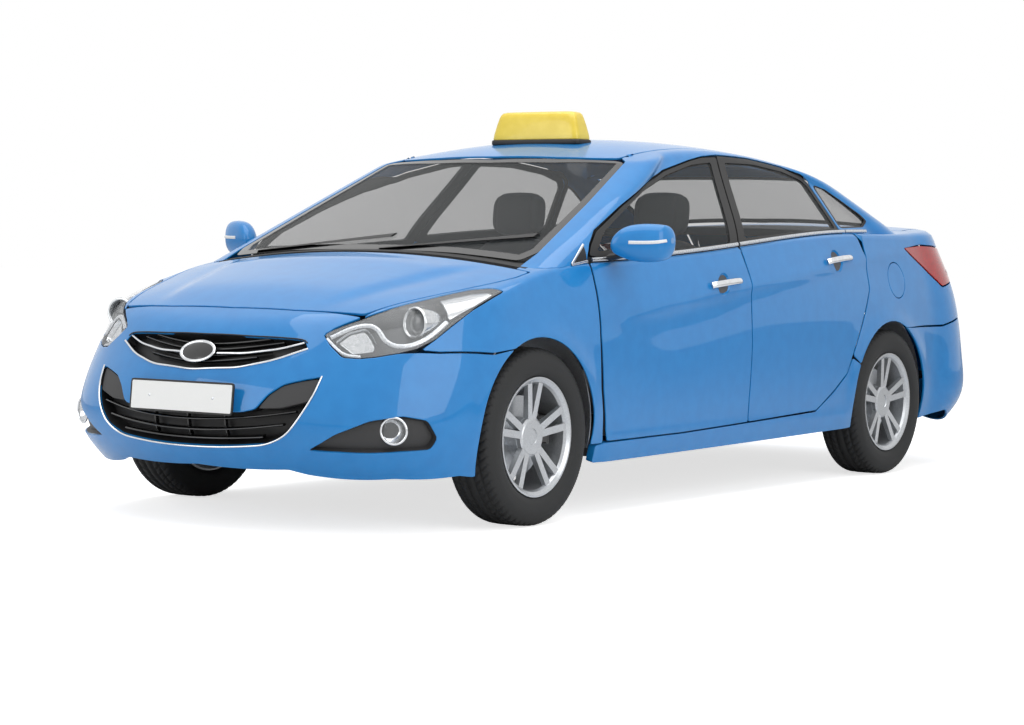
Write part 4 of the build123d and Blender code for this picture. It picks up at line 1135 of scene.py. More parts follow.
    def lids(self) -> None:
        """The bonnet and the boot lid: its top from the deck, its rear face from the wrapped surface."""
        deck, tail = self.body.deck, self.body.rear
        bonnet_loop = round_line(BONNET, step=14, radius=16)
        form = Sheet(deck, bonnet_loop, spacing=24, roll=3.0, depth=9.0).build()
        form.make("bonnet_skin", PAINT, "bonnet_body", "body_paint", "bonnet")
        where = tail.points[..., 1] > 1500
        rim = [(0, None, 690), (590, None, 690), (598, None, 780), (600, None, 840), (602, None, 1010),
               (604, None, 1062), (612, 2160, None), (645, 2050, None), (0, 2055, None)]
        corners = resolved(tail, rim, where & (tail.points[..., 0] > -5))
        outline = tail.loop(corners + flipped(corners[1:-1]), step=14, radius=3, where=where)
        face = Sheet(tail, outline, spacing=24, roll=1.0, depth=9.0).build()
        top_loop = round_line([(650, 1768), (690, 1800), (648, 2053), (-648, 2053), (-690, 1800),
                               (-650, 1768)], step=14, radius=10)
        top = Sheet(deck, top_loop, spacing=24, roll=1.0, depth=9.0).build()
        face.joined(top).make("boot_skin", PAINT, "boot_body", "body_paint", "boot_lid")

    def roof(self) -> None:
        """The roof skin between the roof ditches."""
        patch = self.body.roof
        outline = round_line([(-545, -412), (-450, -460), (-300, -494), (0, -518), (300, -494), (450, -460),
                              (545, -412), (548, 1040), (450, 1076), (0, 1098), (-450, 1076), (-548, 1040)],
                             step=16, radius=20)
        form = Sheet(patch, outline, spacing=26, roll=2.0, depth=8.0).build()
        form.make("roof_skin", PAINT, SHELL, "body_paint", "roof_panel")
        back = self.body.back_screen
        half = [(0, 1194, 1345), (300, 1174, 1342), (450, 1146, 1338), (530, 1106, 1337), (536, 1040, 1350),
                (450, 1062, 1359), (300, 1076, 1374), (0, 1084, 1384)]
        outline = back.loop(half + flipped(half[1:-1]), step=14, radius=6, where=back.points[..., 1] > 700)
        header = Sheet(back, outline, spacing=24, roll=1.0, depth=8.0, lift=-0.6).build()
        header.make("roof_header_rear", PAINT, SHELL, "body_paint")

    def build(self) -> None:
        """Makes every panel."""
        self.front_bumper()
        self.wing()
        self.door_panels()
        self.quarter()
        self.rear_bumper()
        self.lids()
        self.roof()


def resolved(patch: Patch, corners: Sequence[tuple], where: Optional[Array] = None) -> list[tuple]:
    """Points of an outline with their missing coordinates read from the surface.

    A point without x is sought on the left side, one without y on the patch's ends, and one without z
    on its top.
    """
    result = []
    x, y, _ = np.moveaxis(patch.points, -1, 0)
    base = np.ones_like(x, bool) if where is None else where
    for point in corners:
        lacking = [axis for axis, value in enumerate(point) if value is None]
        if not lacking:
            result.append(tuple(float(v) for v in point))
            continue
        mask = base
        if lacking == [0]:
            mask = base & (x > 300) & (patch.normals[..., 0] > 0.3)
        elif lacking == [1]:
            mask = base & (np.abs(patch.normals[..., 1]) > 0.12) & (patch.normals[..., 2] < 0.9)
            if where is None and y.min() < -1500:
                mask = mask & (y < 0)
        elif lacking == [2]:
            mask = base & (patch.normals[..., 2] > 0.6)
        goal = np.array([[np.nan if v is None else v for v in point]], float)
        found = patch.read(patch.place(goal, mask))[0][0]
        result.append(tuple(float(v) for v in found))
    return result


def grown(patch: Patch, corners: Sequence[tuple], by: float) -> Array:
    """Points of a closed outline on a surface, moved outwards in the surface by a distance."""
    points = np.array(corners, float)
    normals = patch.read(patch.place(points))[1]
    ahead = np.roll(points, -1, axis=0) - np.roll(points, 1, axis=0)
    out = np.cross(ahead, normals)
    out /= np.linalg.norm(out, axis=1, keepdims=True)
    turn = np.sign(((points - points.mean(0)) * out).sum())
    return points + out * by * turn


def flipped_known(patch: Patch, corners: Sequence[tuple]) -> list[tuple]:
    """The mirror image of an outline's points, read from the surface first."""
    return flipped(resolved(patch, corners))


# ---- windows and their frames -------------------------------------------------------------------------


@dataclass
class Greenhouse:
    """Windscreen, rear screen, side glass, black frames, pillars and the waist strip."""

    body: CarBody
    glass_depth: float = 4.0
    set_in: float = 2.5
    border_width: float = 26.0
    border_outset: float = 5.0
    frame_depth: float = 14.0
    surround_width: float = 13.0
    panel_depth: float = 5.0
    seal_sunk: float = 24.0

    def screens(self) -> None:
        """The windscreen and the rear screen with their black printed borders."""
        jobs = (
            ("windscreen", self.body.screen, -2000, -150,
             [(0, None, 1000), (400, None, 993), (690, None, 968), (722, None, 1000), (664, None, 1180),
              (598, -458, 1350), (560, -457, 1358), (450, -480, 1362), (300, -504, 1365), (0, -526, 1367)]),
            ("rear_screen", self.body.back_screen, 800, 2300,
             [(0, None, 1136), (400, None, 1130), (612, None, 1116), (622, None, 1150), (580, 1205, 1300),
              (546, 1122, 1331), (450, 1153, 1335), (300, 1182, 1339), (0, 1202, 1342)]))
        for name, patch, low, high, half in jobs:
            y = patch.points[..., 1]
            where = (y > low) & (y < high) & (patch.normals[..., 2] < 0.95)
            corners = resolved(patch, half, where & (patch.points[..., 0] > -5))
            outline = patch.loop(corners + flipped(corners[1:-1]), step=14, radius=18,
                                 where=(y > low) & (y < high))
            normal = loop_normals(outline)
            inner = outline - normal * self.border_width
            pane = Sheet(patch, outline, spacing=30, roll=1.0, depth=self.glass_depth,
                         lift=-self.set_in).build()
            pane.make(f"{name}_glass", GLASS, SHELL, "glass", name)
            frit = Sheet(patch, outline + normal * self.border_outset, holes=[inner], spacing=26, roll=1.0,
                         depth=3.0, lift=-self.set_in + 0.6).build()
            frit.make(f"{name}_border", PIANO, SHELL, "dark_plastic")

    def side_glass(self) -> None:
        """The door glass and the quarter glass."""
        patch = self.body.cabin
        where = patch.side_mask(350, 0.3)
        jobs = (("front_door_glass", FRONT_WINDOW, "front_door_{}_body", "glass_front_{}"),
                ("rear_door_glass", REAR_WINDOW, "rear_door_{}_body", "glass_rear_{}"),
                ("quarter_glass", QUARTER_WINDOW, SHELL, "glass_quarter"))
        for name, points, body, node in jobs:
            outline = patch.loop(side_points(points), step=14, radius=16, where=where)
            outline = outline + loop_normals(outline) * 4
            pane = Sheet(patch, outline, spacing=30, roll=0.8, depth=self.glass_depth,
                         lift=-self.set_in - 1).build()
            both_sides(pane, name, GLASS, body, "glass", node)

    def frames(self) -> None:
        """Black door frames with the window openings, and the black surround of the quarter glass."""
        patch = self.body.cabin
        where = patch.side_mask(350, 0.25)
        front = side_points([(-1040, 985), (-1012, 1022), (-945, 1072), (-720, 1166), (-489, 1250),
                             (-250, 1320), (-20, 1368), (90, 1386), (209, 1392), (31, 1010), (-250, 996),
                             (-600, 976), (-900, 962)])
        rear = side_points([(40, 1014), (222, 1397), (500, 1390), (760, 1364), (910, 1328), (956, 1300),
                            (1018, 1100), (1060, 1060), (800, 1062), (400, 1036)])
        jobs = (("front_door_frame", front, FRONT_WINDOW, "front_door_{}_body"),
                ("rear_door_frame", rear, REAR_WINDOW, "rear_door_{}_body"))
        for name, outer, hole, body in jobs:
            outline = patch.loop(outer, step=12, radius=8, where=where)
            cut = patch.loop(side_points(hole), step=12, radius=14, where=where)
            frame_sheet = Sheet(patch, outline, holes=[cut], spacing=24, roll=1.5,
                                depth=self.frame_depth).build()
            both_sides(frame_sheet, name, TRIM, body, "dark_plastic")
        border = patch.loop(side_points(QUARTER_WINDOW), step=12, radius=10, where=where)
        surround = Sheet(patch, border + loop_normals(border) * self.surround_width, holes=[border],
                         spacing=24, roll=1.5, depth=10, lift=0.5).build()
        both_sides(surround, "quarter_glass_frame", TRIM, SHELL, "dark_plastic")

    def pillars(self) -> None:
        """The painted body side above the waist: front pillar, roof rail and rear quarter."""
        patch = self.body.screen
        where = (patch.points[..., 0] > 200)
        front_edge = [(729, None, 992), (670, None, 1180), (602, None, 1354)]
        base = resolved(patch, front_edge, where & (patch.points[..., 1] < 0)
                        & (patch.normals[..., 2] < 0.95))
        low = [base[0], base[1], base[2], (556, -404, None), (553, -200, None), (553, 400, None),
               (553, 1000, None), (553, 1046, None)]
        cabin = self.body.cabin
        keep = cabin.points[..., 0] > 200
        rear_edge = [(552, None, 1331), (582, None, 1302), (626, None, 1150), (618, None, 1108)]
        rear = resolved(cabin, rear_edge, keep & (cabin.points[..., 1] > 900)
                        & (cabin.normals[..., 2] < 0.95))
        belt_back = side_points([(1600, 1079), (1500, 1075), (1300, 1076), (1140, 1073)])
        side_mask = keep & (cabin.normals[..., 0] > 0.25)
        door_line = side_points([(1066, 1064), (1026, 1104), (964, 1306), (914, 1336), (764, 1372),
                                 (500, 1398), (222, 1404), (90, 1393), (-20, 1375), (-252, 1328),
                                 (-492, 1258), (-724, 1174), (-950, 1080), (-1020, 1028), (-1052, 984),
                                 (-1066, 952)])
        door_line += [(830, -1150, 945), (829, -1250, 934), (812, -1302, 929), (768, -1347, 928),
                      (729, -1352, 945)]
        side = resolved(cabin, belt_back + door_line, side_mask)
        top = resolved(cabin, low[3:], keep)
        corners = low[:3] + top + rear + [(700, 1656, 1082)] + side
        outline = cabin.loop(corners, step=13, radius=5, where=keep)
        hole = cabin.loop(side_points(QUARTER_WINDOW), step=12, radius=10, where=side_mask)
        hole = hole + loop_normals(hole) * 9
        sheet = Sheet(cabin, outline, holes=[hole], spacing=24, roll=1.0, depth=self.panel_depth).build()
        both_sides(sheet, "roof_side_panel", PAINT, SHELL, "body_paint")

    def waist_strip(self) -> None:
        """Satin strip along the foot of the side windows."""
        runs = ((-1040, 24, "front_door_{}_body", "front"), (38, 1050, "rear_door_{}_body", "rear"),
                (1058, 1290, SHELL, "quarter"))
        for start, end, body, word in runs:
            stations = np.linspace(start, end, max(int((end - start) / 30), 4))
            line = np.array(self.body.belt(stations, in_by=-6.0, up_by=10.0))
            strip = ribbon(line, np.array([1.0, 0.0, 0.25]), half_width=7.5, bulge=4.0)
            both_sides(strip, f"waist_strip_{word}", SATIN, body, "dark_plastic")

    def sail(self) -> None:
        """The fixed black corner between the front pillar and the wing, with a bright edge."""
        patch = self.body.cabin
        where = patch.side_mask(350, 0.2)
        tip, heel, rise = (836, -1176, 948), (838, -1066, 962), (810, -1062, 1020)
        outline = patch.loop([tip, (820, -1100, 998), rise, (824, -1062, 1000), heel], step=8, radius=3,
                             where=where)
        corner = Sheet(patch, outline, spacing=20, roll=1.0, depth=3.0, lift=3.0).build()
        both_sides(corner, "sail_fixed", TRIM, SHELL, "dark_plastic")
        points, normals = patch.read(patch.loop([heel, (837, -1120, 955), tip, (820, -1100, 998), rise],
                                                step=8, radius=8, where=where, closed=False))
        form = ribbon(points + normals * 5, normals, half_width=5.0, bulge=3.0)
        both_sides(form, "sail_edge", SATIN, SHELL, "dark_plastic")

    def seals(self) -> None:
        """Rubber seals behind the shut lines of the door frames, fixed to the body."""
        patch = self.body.cabin
        where = patch.side_mask(350, 0.25)
        line = side_points([(-1040, 990), (-945, 1076), (-720, 1170), (-489, 1254), (-250, 1324), (90, 1390),
                            (222, 1401), (500, 1394), (762, 1366), (912, 1332), (960, 1303), (1022, 1102),
                            (1062, 1064)])
        points, normals = patch.read(patch.loop(line, step=14, radius=20, where=where, closed=False))
        seal = ribbon(points - normals * self.seal_sunk, normals, half_width=16.0, bulge=4.0)
        both_sides(seal, "door_seal", RUBBER, SHELL, "dark_plastic")

    def cowl(self) -> None:
        """The black scuttle panel between bonnet and windscreen."""
        outline = round_line([(-752, -1356), (0, -1356), (752, -1356), (800, -1180), (760, -1120),
                              (712, -1180), (400, -1280), (0, -1305), (-400, -1280), (-712, -1180),
                              (-760, -1120), (-800, -1180)], step=16, radius=12)
        form = Sheet(self.body.deck, outline, spacing=30, roll=2.0, depth=16, lift=-4.0).build()
        form.make("cowl_cover", TRIM, SHELL, "dark_plastic")

    def build(self) -> None:
        """Makes all glass and trim above the waist."""
        self.screens()
        self.side_glass()
        self.frames()
        self.pillars()
        self.waist_strip()
        self.sail()
        self.seals()
        self.cowl()


def ribbon(line: Array, face: Array, half_width: float, bulge: float, closed: bool = False) -> Build:
    """A crowned strip along a path, with its crown towards a direction.

    Across the strip the section is a flat ellipse: half width times the cosine sideways and the bulge times
    the sine outwards, closed on itself.

    Args:
        line: Path points, n by 3.
        face: Outward direction, 3, or one for each point.
        half_width: Half the strip's width.
        bulge: Half its thickness.
        closed: Whether the path closes.

    Returns:
        The strip.
    """
    ahead = np.gradient(line, axis=0)
    if closed:
        ahead = np.roll(line, -1, axis=0) - np.roll(line, 1, axis=0)
    ahead /= np.linalg.norm(ahead, axis=1, keepdims=True)
    out = np.broadcast_to(face, line.shape) - ahead * (np.broadcast_to(face, line.shape)
                                                       * ahead).sum(1)[:, None]
    out = out / np.linalg.norm(out, axis=1, keepdims=True)
    wide = np.cross(ahead, out)
    angle = around(16)
    section = (np.cos(angle)[:, None, None] * wide * half_width + np.sin(angle)[:, None, None] * out * bulge)
    bend = (np.cos(angle)[:, None, None] * wide / half_width + np.sin(angle)[:, None, None] * out / bulge)
    bend /= np.linalg.norm(bend, axis=2, keepdims=True)
    grid = np.swapaxes(line + section, 0, 1)
    normal = np.swapaxes(bend, 0, 1)
    result = Build()
    if closed:
        grid = np.concatenate([grid, grid[:1]])
        normal = np.concatenate([normal, normal[:1]])
    result.add_grid(grid, normal, closed=True, flip=True)
    if not closed:
        result.add_fan(grid[0], -ahead[0])
        result.add_fan(grid[-1], ahead[-1])
    return result


# ---- small forms --------------------------------------------------------------------------------------


def plane_patch(origin: Array, u: Array, v: Array, half_u: float, half_v: float) -> Patch:
    """A flat patch with millimetre coordinates from its own middle."""
    along, across = np.linspace(-half_u, half_u, 9), np.linspace(-half_v, half_v, 9)
    a, b = np.meshgrid(along, across)
    points = np.asarray(origin) + a[..., None] * np.asarray(u) + b[..., None] * np.asarray(v)
    return Patch(points, across, along)


def lathe(profile: Array, centre: Array, axis: Array, segments: int = 48, closed: bool = False) -> Build:
    """A surface of revolution.

    Each profile point (distance along the axis, radius) runs round the axis. The left hand of the profile
    is the outside.

    Args:
        profile: Points, n by 2.
        centre: Where the axis starts.
        axis: Its direction.
        segments: Steps round.
        closed: Whether the profile closes on itself.

    Returns:
        The surface.
    """
    axis = np.asarray(axis, float) / np.linalg.norm(axis)
    other = np.array([0.0, 0.0, 1.0]) if abs(axis[2]) < 0.9 else np.array([1.0, 0.0, 0.0])
    e1 = np.cross(axis, other)
    e1 /= np.linalg.norm(e1)
    e2 = np.cross(axis, e1)
    angle = around(segments)
    spoke = np.cos(angle)[:, None] * e1 + np.sin(angle)[:, None] * e2
    line = np.asarray(profile, float)
    if closed:
        line = np.concatenate([line, line[:1]])
    grid = np.asarray(centre) + line[:, 0][:, None, None] * axis + line[:, 1][:, None, None] * spoke
    tangent = np.gradient(line, axis=0)
    if closed:
        tangent[0] = tangent[-1] = (line[1] - line[-2]) / 2
    turn = np.stack([-tangent[:, 1], tangent[:, 0]], 1)
    turn /= np.maximum(np.linalg.norm(turn, axis=1, keepdims=True), 1e-9)
    normal = turn[:, 0][:, None, None] * axis + turn[:, 1][:, None, None] * spoke
    result = Build()
    result.add_grid(grid, normal, closed=True)
    return result


def dish(patch: Patch, centre: Array, radius: float, depth: float) -> Build:
    """A round hollow in a patch: depth times (1 minus the square of the share of the radius)."""
    share = np.linspace(1, 0.02, 12)[:, None]
    angle = around(40)
    places = centre + radius * share[..., None] * np.stack([np.cos(angle), np.sin(angle)], -1)
    points, normals = patch.read(places.reshape(-1, 2))
    fall = np.repeat(depth * (1 - share[:, 0] ** 2), 40)
    grid = (points - normals * fall[:, None]).reshape(12, 40, 3)
    result = Build()
    result.add_grid(grid, closed=True)
    return result


def sleeve(patch: Patch, loop: Array, top: float, bottom: float, shrink: float = 0.0) -> Build:
    """The wall of a recess, from one depth to another under an outline, facing inwards."""
    out = loop_normals(loop)
    first, normal = patch.read(loop)
    last, normal_low = patch.read(loop - out * shrink)
    t = np.linspace(0, 1, 5)[:, None, None]
    grid = (1 - t) * (first + normal * top) + t * (last + normal_low * bottom)
    result = Build()
    area = np.sum(loop[:, 0] * np.roll(loop[:, 1], -1) - np.roll(loop[:, 0], -1) * loop[:, 1])
    result.add_grid(grid, closed=True, flip=bool(area < 0))
    return result


def pad_form(low: Array, high: Array, power: float = 3.2, rows: int = 40, cols: int = 72,
             crown: Optional[Callable[[Array, Array], Array]] = None) -> Array:
    """A cushion form between two corners: a superellipsoid.

    With latitude u and longitude v, each coordinate is a signed power 2/n of the usual sine and cosine
    products, n being the squareness.

    Args:
        low: Lower corner.
        high: Upper corner.
        power: Squareness.
        rows: Steps over the latitude.
        cols: Steps round.
        crown: Optional shift of the points, from unit coordinates to millimetres.

    Returns:
        Grid of points.
    """
    u = np.linspace(-np.pi / 2, np.pi / 2, rows)[:, None]
    v = around(cols)[None]
    share = 2 / power
    unit = np.stack([bent(np.cos(u), share) * bent(np.cos(v), share),
                     bent(np.cos(u), share) * bent(np.sin(v), share),
                     bent(np.sin(u), share) * np.ones_like(v)], -1)
    low, high = np.asarray(low, float), np.asarray(high, float)
    grid = (low + high) / 2 + unit * (high - low) / 2
    if crown is not None:
        grid = grid + crown(unit, grid)
    return grid


def loft_rings(rings: Array, capped: bool = True) -> Build:
    """Closed rings joined in order, with a fan on each end."""
    result = Build()
    result.add_grid(rings, closed=True)
    if capped:
        for end, near in ((0, 1), (-1, -2)):
            away = rings[end].mean(0) - rings[near].mean(0)
            result.add_fan(rings[end], away / max(np.linalg.norm(away), 1e-9))
    return result


# ---- lamps, grilles and plates ------------------------------------------------------------------------


@dataclass
class Lamps:
    """Headlamps, fog lamps and tail lamps."""

    body: CarBody
    lamp_depth: float = 74.0
    projector_at: tuple = (708.0, -1953.0, 746.0)
    projector_way: tuple = (-0.12, -0.99, 0.05)
    shelf: tuple = ((800, -1870, 760), (822, -1754, 806), (826, -1650, 850), (790, -1650, 860),
                    (750, -1695, 856), (728, -1760, 845), (712, -1820, 836), (760, -1850, 800))
    cell: tuple = ((513, -2160, 682), (545, -2123, 717), (596, -2087, 732), (622, -2085, 708),
                   (651, -2088, 671), (646, -2104, 650), (580, -2154, 641))
    swoop: tuple = ((494, -2158, 698), (557, -2104, 736), (604, -2074, 744), (636, -2062, 722),
                    (660, -2062, 684), (700, -2040, 664), (742, -1996, 672), (772, -1936, 704),
                    (794, -1875, 752))
    rim: tuple = ((484, -2166, 694), (512, -2168, 672), (562, -2168, 638), (614, -2139, 633))
    fog_at: tuple = (752, 378)
    fog_r: float = 46.0

    def bowl(self, at: Array, way: Array, radius: float, depth: float) -> tuple[Build, Build, Build]:
        """A reflector bowl with its bright ring and a lens over it."""
        share = np.linspace(0, 1, 14)
        bowl = lathe(np.stack([-depth * (1 - share ** 2), 0.4 + (radius - 2) * share], 1)[::-1], at, way)
        ring_angle = around(12)
        ring = lathe(np.stack([4.5 * np.sin(ring_angle), radius - 4.5 * np.cos(ring_angle)], 1)[::-1], at,
                     way, segments=56, closed=True)
        cap_share = np.linspace(1, 0, 12)
        cap = lathe(np.stack([10 * (1 - cap_share ** 2) - 3, 0.4 + (radius - 5) * cap_share], 1), at, way)
        return bowl, ring, cap

    def head(self) -> None:
        """The headlamps: clear cover, grey pan, projector, inner reflector and a bright lower lip."""
        patch = self.body.side
        front = patch.points[..., 1] < -1300
        where = front & (patch.normals[..., 2] < 0.97)
        outline = patch.loop(HEADLAMP, step=12, radius=10, where=where)
        cover = Sheet(patch, outline, spacing=24, roll=2.0, depth=3.5, lift=0.5).build()
        both_sides(cover, "headlamp_cover", LENS, SHELL, "lamp_clear", "headlamps")
        out = loop_normals(outline)
        pan = Sheet(patch, outline - out * 9, spacing=24, roll=1.0, depth=4, lift=-self.lamp_depth).build()
        wall = sleeve(patch, outline - out * 2, top=-4, bottom=-self.lamp_depth - 1, shrink=8)
        parts = [("housing", pan.joined(wall), BEZEL)]
        shelf = patch.loop(self.shelf, step=10, radius=10, where=where)
        parts.append(("shelf", Sheet(patch, shelf, spacing=24, roll=3.0, depth=12, lift=-12).build(),
                      REFLECTOR))
        cell = patch.loop(self.cell, step=8, radius=12, where=where)
        inner = Sheet(patch, cell - loop_normals(cell) * 9, spacing=16, roll=4.0, depth=10, lift=-22).build()
        inner = inner.joined(sleeve(patch, cell, top=-10, bottom=-30, shrink=5))
        parts.append(("inner_reflector", inner, REFLECTOR))
        for word, path, half_width, sunk in (("swoop", self.swoop, 9.0, 10.0), ("rim", self.rim, 6.0, 8.0)):
            points, normals = patch.read(patch.loop(path, step=8, radius=40, where=where, closed=False))
            parts.append((word, ribbon(points - normals * sunk, normals, half_width=half_width, bulge=5.0),
                          SATIN))
        drum = np.array([(-95, 46), (-60, 52), (-8, 56), (0, 58), (4, 57), (6, 53), (4, 48), (-2, 45),
                         (-20, 42), (-24, 30), (-25, 0.4)], float)
        parts.append(("projector_drum", lathe(drum, self.projector_at, self.projector_way, segments=56),
                      REFLECTOR))
        bend = np.linspace(1, 0, 12)
        dome = np.stack([-22 + 20 * np.sqrt(1 - 0.99 * bend ** 2), 0.3 + 38 * bend], 1)
        parts.append(("projector_lens", lathe(dome, self.projector_at, self.projector_way, segments=48),
                      PROJECTOR))
        for word, build, finish in parts:
            both_sides(build, f"headlamp_{word}", finish, SHELL, "lamp_clear")

    def fog(self) -> None:
        """The fog lamp pockets with a round lamp and a bright ring."""
        patch = self.body.side
        where = (patch.points[..., 1] < -1500) & (np.abs(patch.normals[..., 1]) > 0.1)
        outline = patch.loop(front_points(FOG_POCKET), step=12, radius=14,
                             where=where & (patch.points[..., 2] < 600))
        out = loop_normals(outline)
        pan = Sheet(patch, outline - out * 5, spacing=20, roll=1.0, depth=4, lift=-26).build()
        wall = sleeve(patch, outline, top=-3, bottom=-27, shrink=5)
        both_sides(pan.joined(wall), "fog_pocket", INSERT, SHELL, "dark_plastic")
        point = np.array(resolved(patch, [(self.fog_at[0], None, self.fog_at[1])], where)[0])
        normal = patch.read(patch.place(point[None]))[1][0]
        way = normal * 0.55 + np.array([0.0, -0.6, 0.0])
        bowl, ring, cap = self.bowl(point - normal * 10, way, radius=self.fog_r, depth=26)
        both_sides(bowl, "fog_lamp_bowl", REFLECTOR, SHELL, "lamp_clear", "fog_lamps")
        for word, build, finish in (("ring", ring, CHROME), ("lens", cap, LENS)):
            both_sides(build, f"fog_lamp_{word}", finish, SHELL, "lamp_clear")

    def tail(self) -> None:
        """The tail lamps, wrapped round the rear corners, with a pale lower band."""
        patch = self.body.side
        where = patch.points[..., 1] > 1400
        corners = side_points([(1552, 1018), (1720, 932), (1866, 842)])
        corners += front_points([(609, 842), (609, 1006), (760, 1012)])
        corners += side_points([(1900, 1018), (1720, 1028)])
        outline = patch.loop(resolved(patch, corners, where), step=12, radius=14, where=where)
        shell_form = Sheet(patch, outline, spacing=20, roll=3.0, depth=26, lift=1.5).build()
        both_sides(shell_form, "tail_lamp", RED_LENS, SHELL, "lamp_red", "tail_lamps")
        band_line = patch.loop(resolved(patch, [(625, None, 900), (760, None, 900), (850, None, 905)], where),
                               step=12, radius=20, where=where, closed=False)
        points, normals = patch.read(band_line)
        form = ribbon(points + normals * 2, normals, half_width=14, bulge=2.5)
        both_sides(form, "reversing_band", INDICATOR, SHELL, "lamp_clear")

    def build(self) -> None:
        """Makes all lamps."""
        self.head()
        self.fog()
        self.tail()


@dataclass
class Grilles:
    """The upper grille with its bright bars, the lower mouth with slats, and the blank plates."""

    body: CarBody
    plate_half: tuple = (244.0, 57.0)

    def surface_line(self, corners: Sequence[tuple], lift: float, step: float = 14.0,
                     radius: float = 40.0) -> tuple[Array, Array]:
        """Points and normals along a line over the front."""
        patch = self.body.front
        where = (patch.points[..., 1] < -1500) & (np.abs(patch.normals[..., 1]) > 0.1)
        places = patch.loop(resolved(patch, corners, where), step=step, radius=radius, where=where,
                            closed=False)
        points, normals = patch.read(places)
        return points + normals * lift, normals

    def upper(self) -> None:
        """The smile-shaped upper grille."""
        patch = self.body.front
        where = (patch.points[..., 1] < -1500) & (patch.points[..., 2] > 480)
        outline = patch.loop(front_points(UPPER_GRILLE), step=12, radius=14, where=where)
        out = loop_normals(outline)
        pan = Sheet(patch, outline - out * 3, spacing=30, roll=1.0, depth=5, lift=-42).build()
        pan = pan.joined(sleeve(patch, outline, top=-4, bottom=-43, shrink=3))
        pan.make("grille_upper_pan", TRIM, SHELL, "dark_plastic", "grilles")
        slats = Build()
        for rise in (-34, -14, 6, 26):
            corners = [(x, None, 640 + rise + 46 * (abs(x) / 400) ** 1.6) for x in
                       np.linspace(-1, 1, 9) * np.interp(rise, [-34, 26], [250, 372])]
            line, normals = self.surface_line(corners, lift=-24)
            slats = slats.joined(ribbon(line, normals, half_width=5.0, bulge=12.0))
        slats.make("grille_upper_slats", PIANO, SHELL, "dark_plastic")
        for sign, word in ((1, "left"), (-1, "right")):
            corners = [(sign * x, None, z) for x, z in ((84, 632), (200, 634), (330, 652), (412, 676))]
            line, normals = self.surface_line(corners, lift=-6)
            form = ribbon(line, normals, half_width=4.5, bulge=5.0)
            form.make(f"grille_bar_{word}", CHROME, SHELL, "dark_plastic")
        edge = [(x, None, z - 2) for x, z in ((-436, 656), (-330, 614), (-200, 584), (0, 572), (200, 584),
                                              (330, 614), (436, 656))]
        line, normals = self.surface_line(edge, lift=0.5)
        form = ribbon(line, normals, half_width=4.0, bulge=4.0)
        form.make("grille_lower_edge", CHROME, SHELL, "dark_plastic")
        top = [(x, None, z + 1) for x, z in ((-425, 672), (-409, 684), (-200, 690), (0, 692), (200, 690),
                                             (409, 684), (425, 672))]
        line, normals = self.surface_line(top, lift=0.5)
        ribbon(line, normals, half_width=2.5, bulge=3.0).make("grille_top_edge", TRIM, SHELL, "dark_plastic")
        point, normal = (v[0] for v in patch.read(patch.place(np.array(
            resolved(patch, [(0, None, 632)], where)))))
        angle = around(48)
        tall = np.cross(normal, [1.0, 0.0, 0.0])
        ring = point + normal * 3 + 76 * np.cos(angle)[:, None] * np.array([1.0, 0, 0]) + (
            41 * np.sin(angle)[:, None] * tall)
        form = ribbon(ring, np.tile(normal, (48, 1)), half_width=6.0, bulge=5.0, closed=True)
        form.make("badge_rim_plain", CHROME, SHELL, "dark_plastic")
        share = np.linspace(1, 0.02, 8)[:, None, None]
        disc = point + normal * (2 + 5 * (1 - share ** 2)) + share * (ring - point - normal * 3)
        cover = Build()
        cover.add_grid(disc, closed=True, flip=bool(tall[2] < 0))
        cover.make("badge_disc_plain", PIANO, SHELL, "dark_plastic")

    def lower(self) -> None:
        """The lower mouth: pan, slats, uprights, corner inserts and the thin bright outline."""
        patch = self.body.front
        where = (patch.points[..., 1] < -1500) & (patch.points[..., 2] < 620)
        outline = patch.loop(front_points(LOWER_MOUTH), step=12, radius=14, where=where)
        pan = Sheet(patch, outline, spacing=30, roll=1.0, depth=5, lift=-58).build()
        pan = pan.joined(sleeve(patch, outline, top=-4, bottom=-59, shrink=0))
        pan.make("grille_lower_pan", TRIM, SHELL, "dark_plastic")
        bars = Build()
        for z, half, rise in ((398, 456, 44), (358, 412, 34), (326, 330, 16)):
            corners = [(x, None, z + rise * (x / half) ** 2) for x in np.linspace(-half, half, 9)]
            line, normals = self.surface_line(corners, lift=-24)
            bars = bars.joined(ribbon(line, normals, half_width=5.0, bulge=14.0))
        for x in (-170, 0, 170):
            line, normals = self.surface_line([(x, None, 312), (x, None, 370), (x, None, 424)], lift=-40)
            bars = bars.joined(ribbon(line, normals, half_width=4.0, bulge=10.0))
        bars.make("grille_lower_slats", PIANO, SHELL, "dark_plastic")
        wing = front_points([(513, 556), (456, 546), (394, 529), (351, 495), (318, 448), (400, 452),
                             (496, 478)])
        loop = patch.loop(resolved(patch, wing, where), step=12, radius=8, where=where)
        insert = Sheet(patch, loop, spacing=24, roll=3.0, depth=20, lift=-7).build()
        both_sides(insert, "grille_corner", INSERT, SHELL, "dark_plastic")
        half = front_points([(518, 562), (507, 489), (469, 412), (420, 354), (340, 320), (150, 304),
                             (0, 301)])
        ends = half + flipped(half[:-1])
        line, normals = self.surface_line(ends, lift=0.5)
        form = ribbon(line, normals, half_width=3.5, bulge=4.0)
        form.make("grille_mouth_edge", CHROME, SHELL, "dark_plastic")

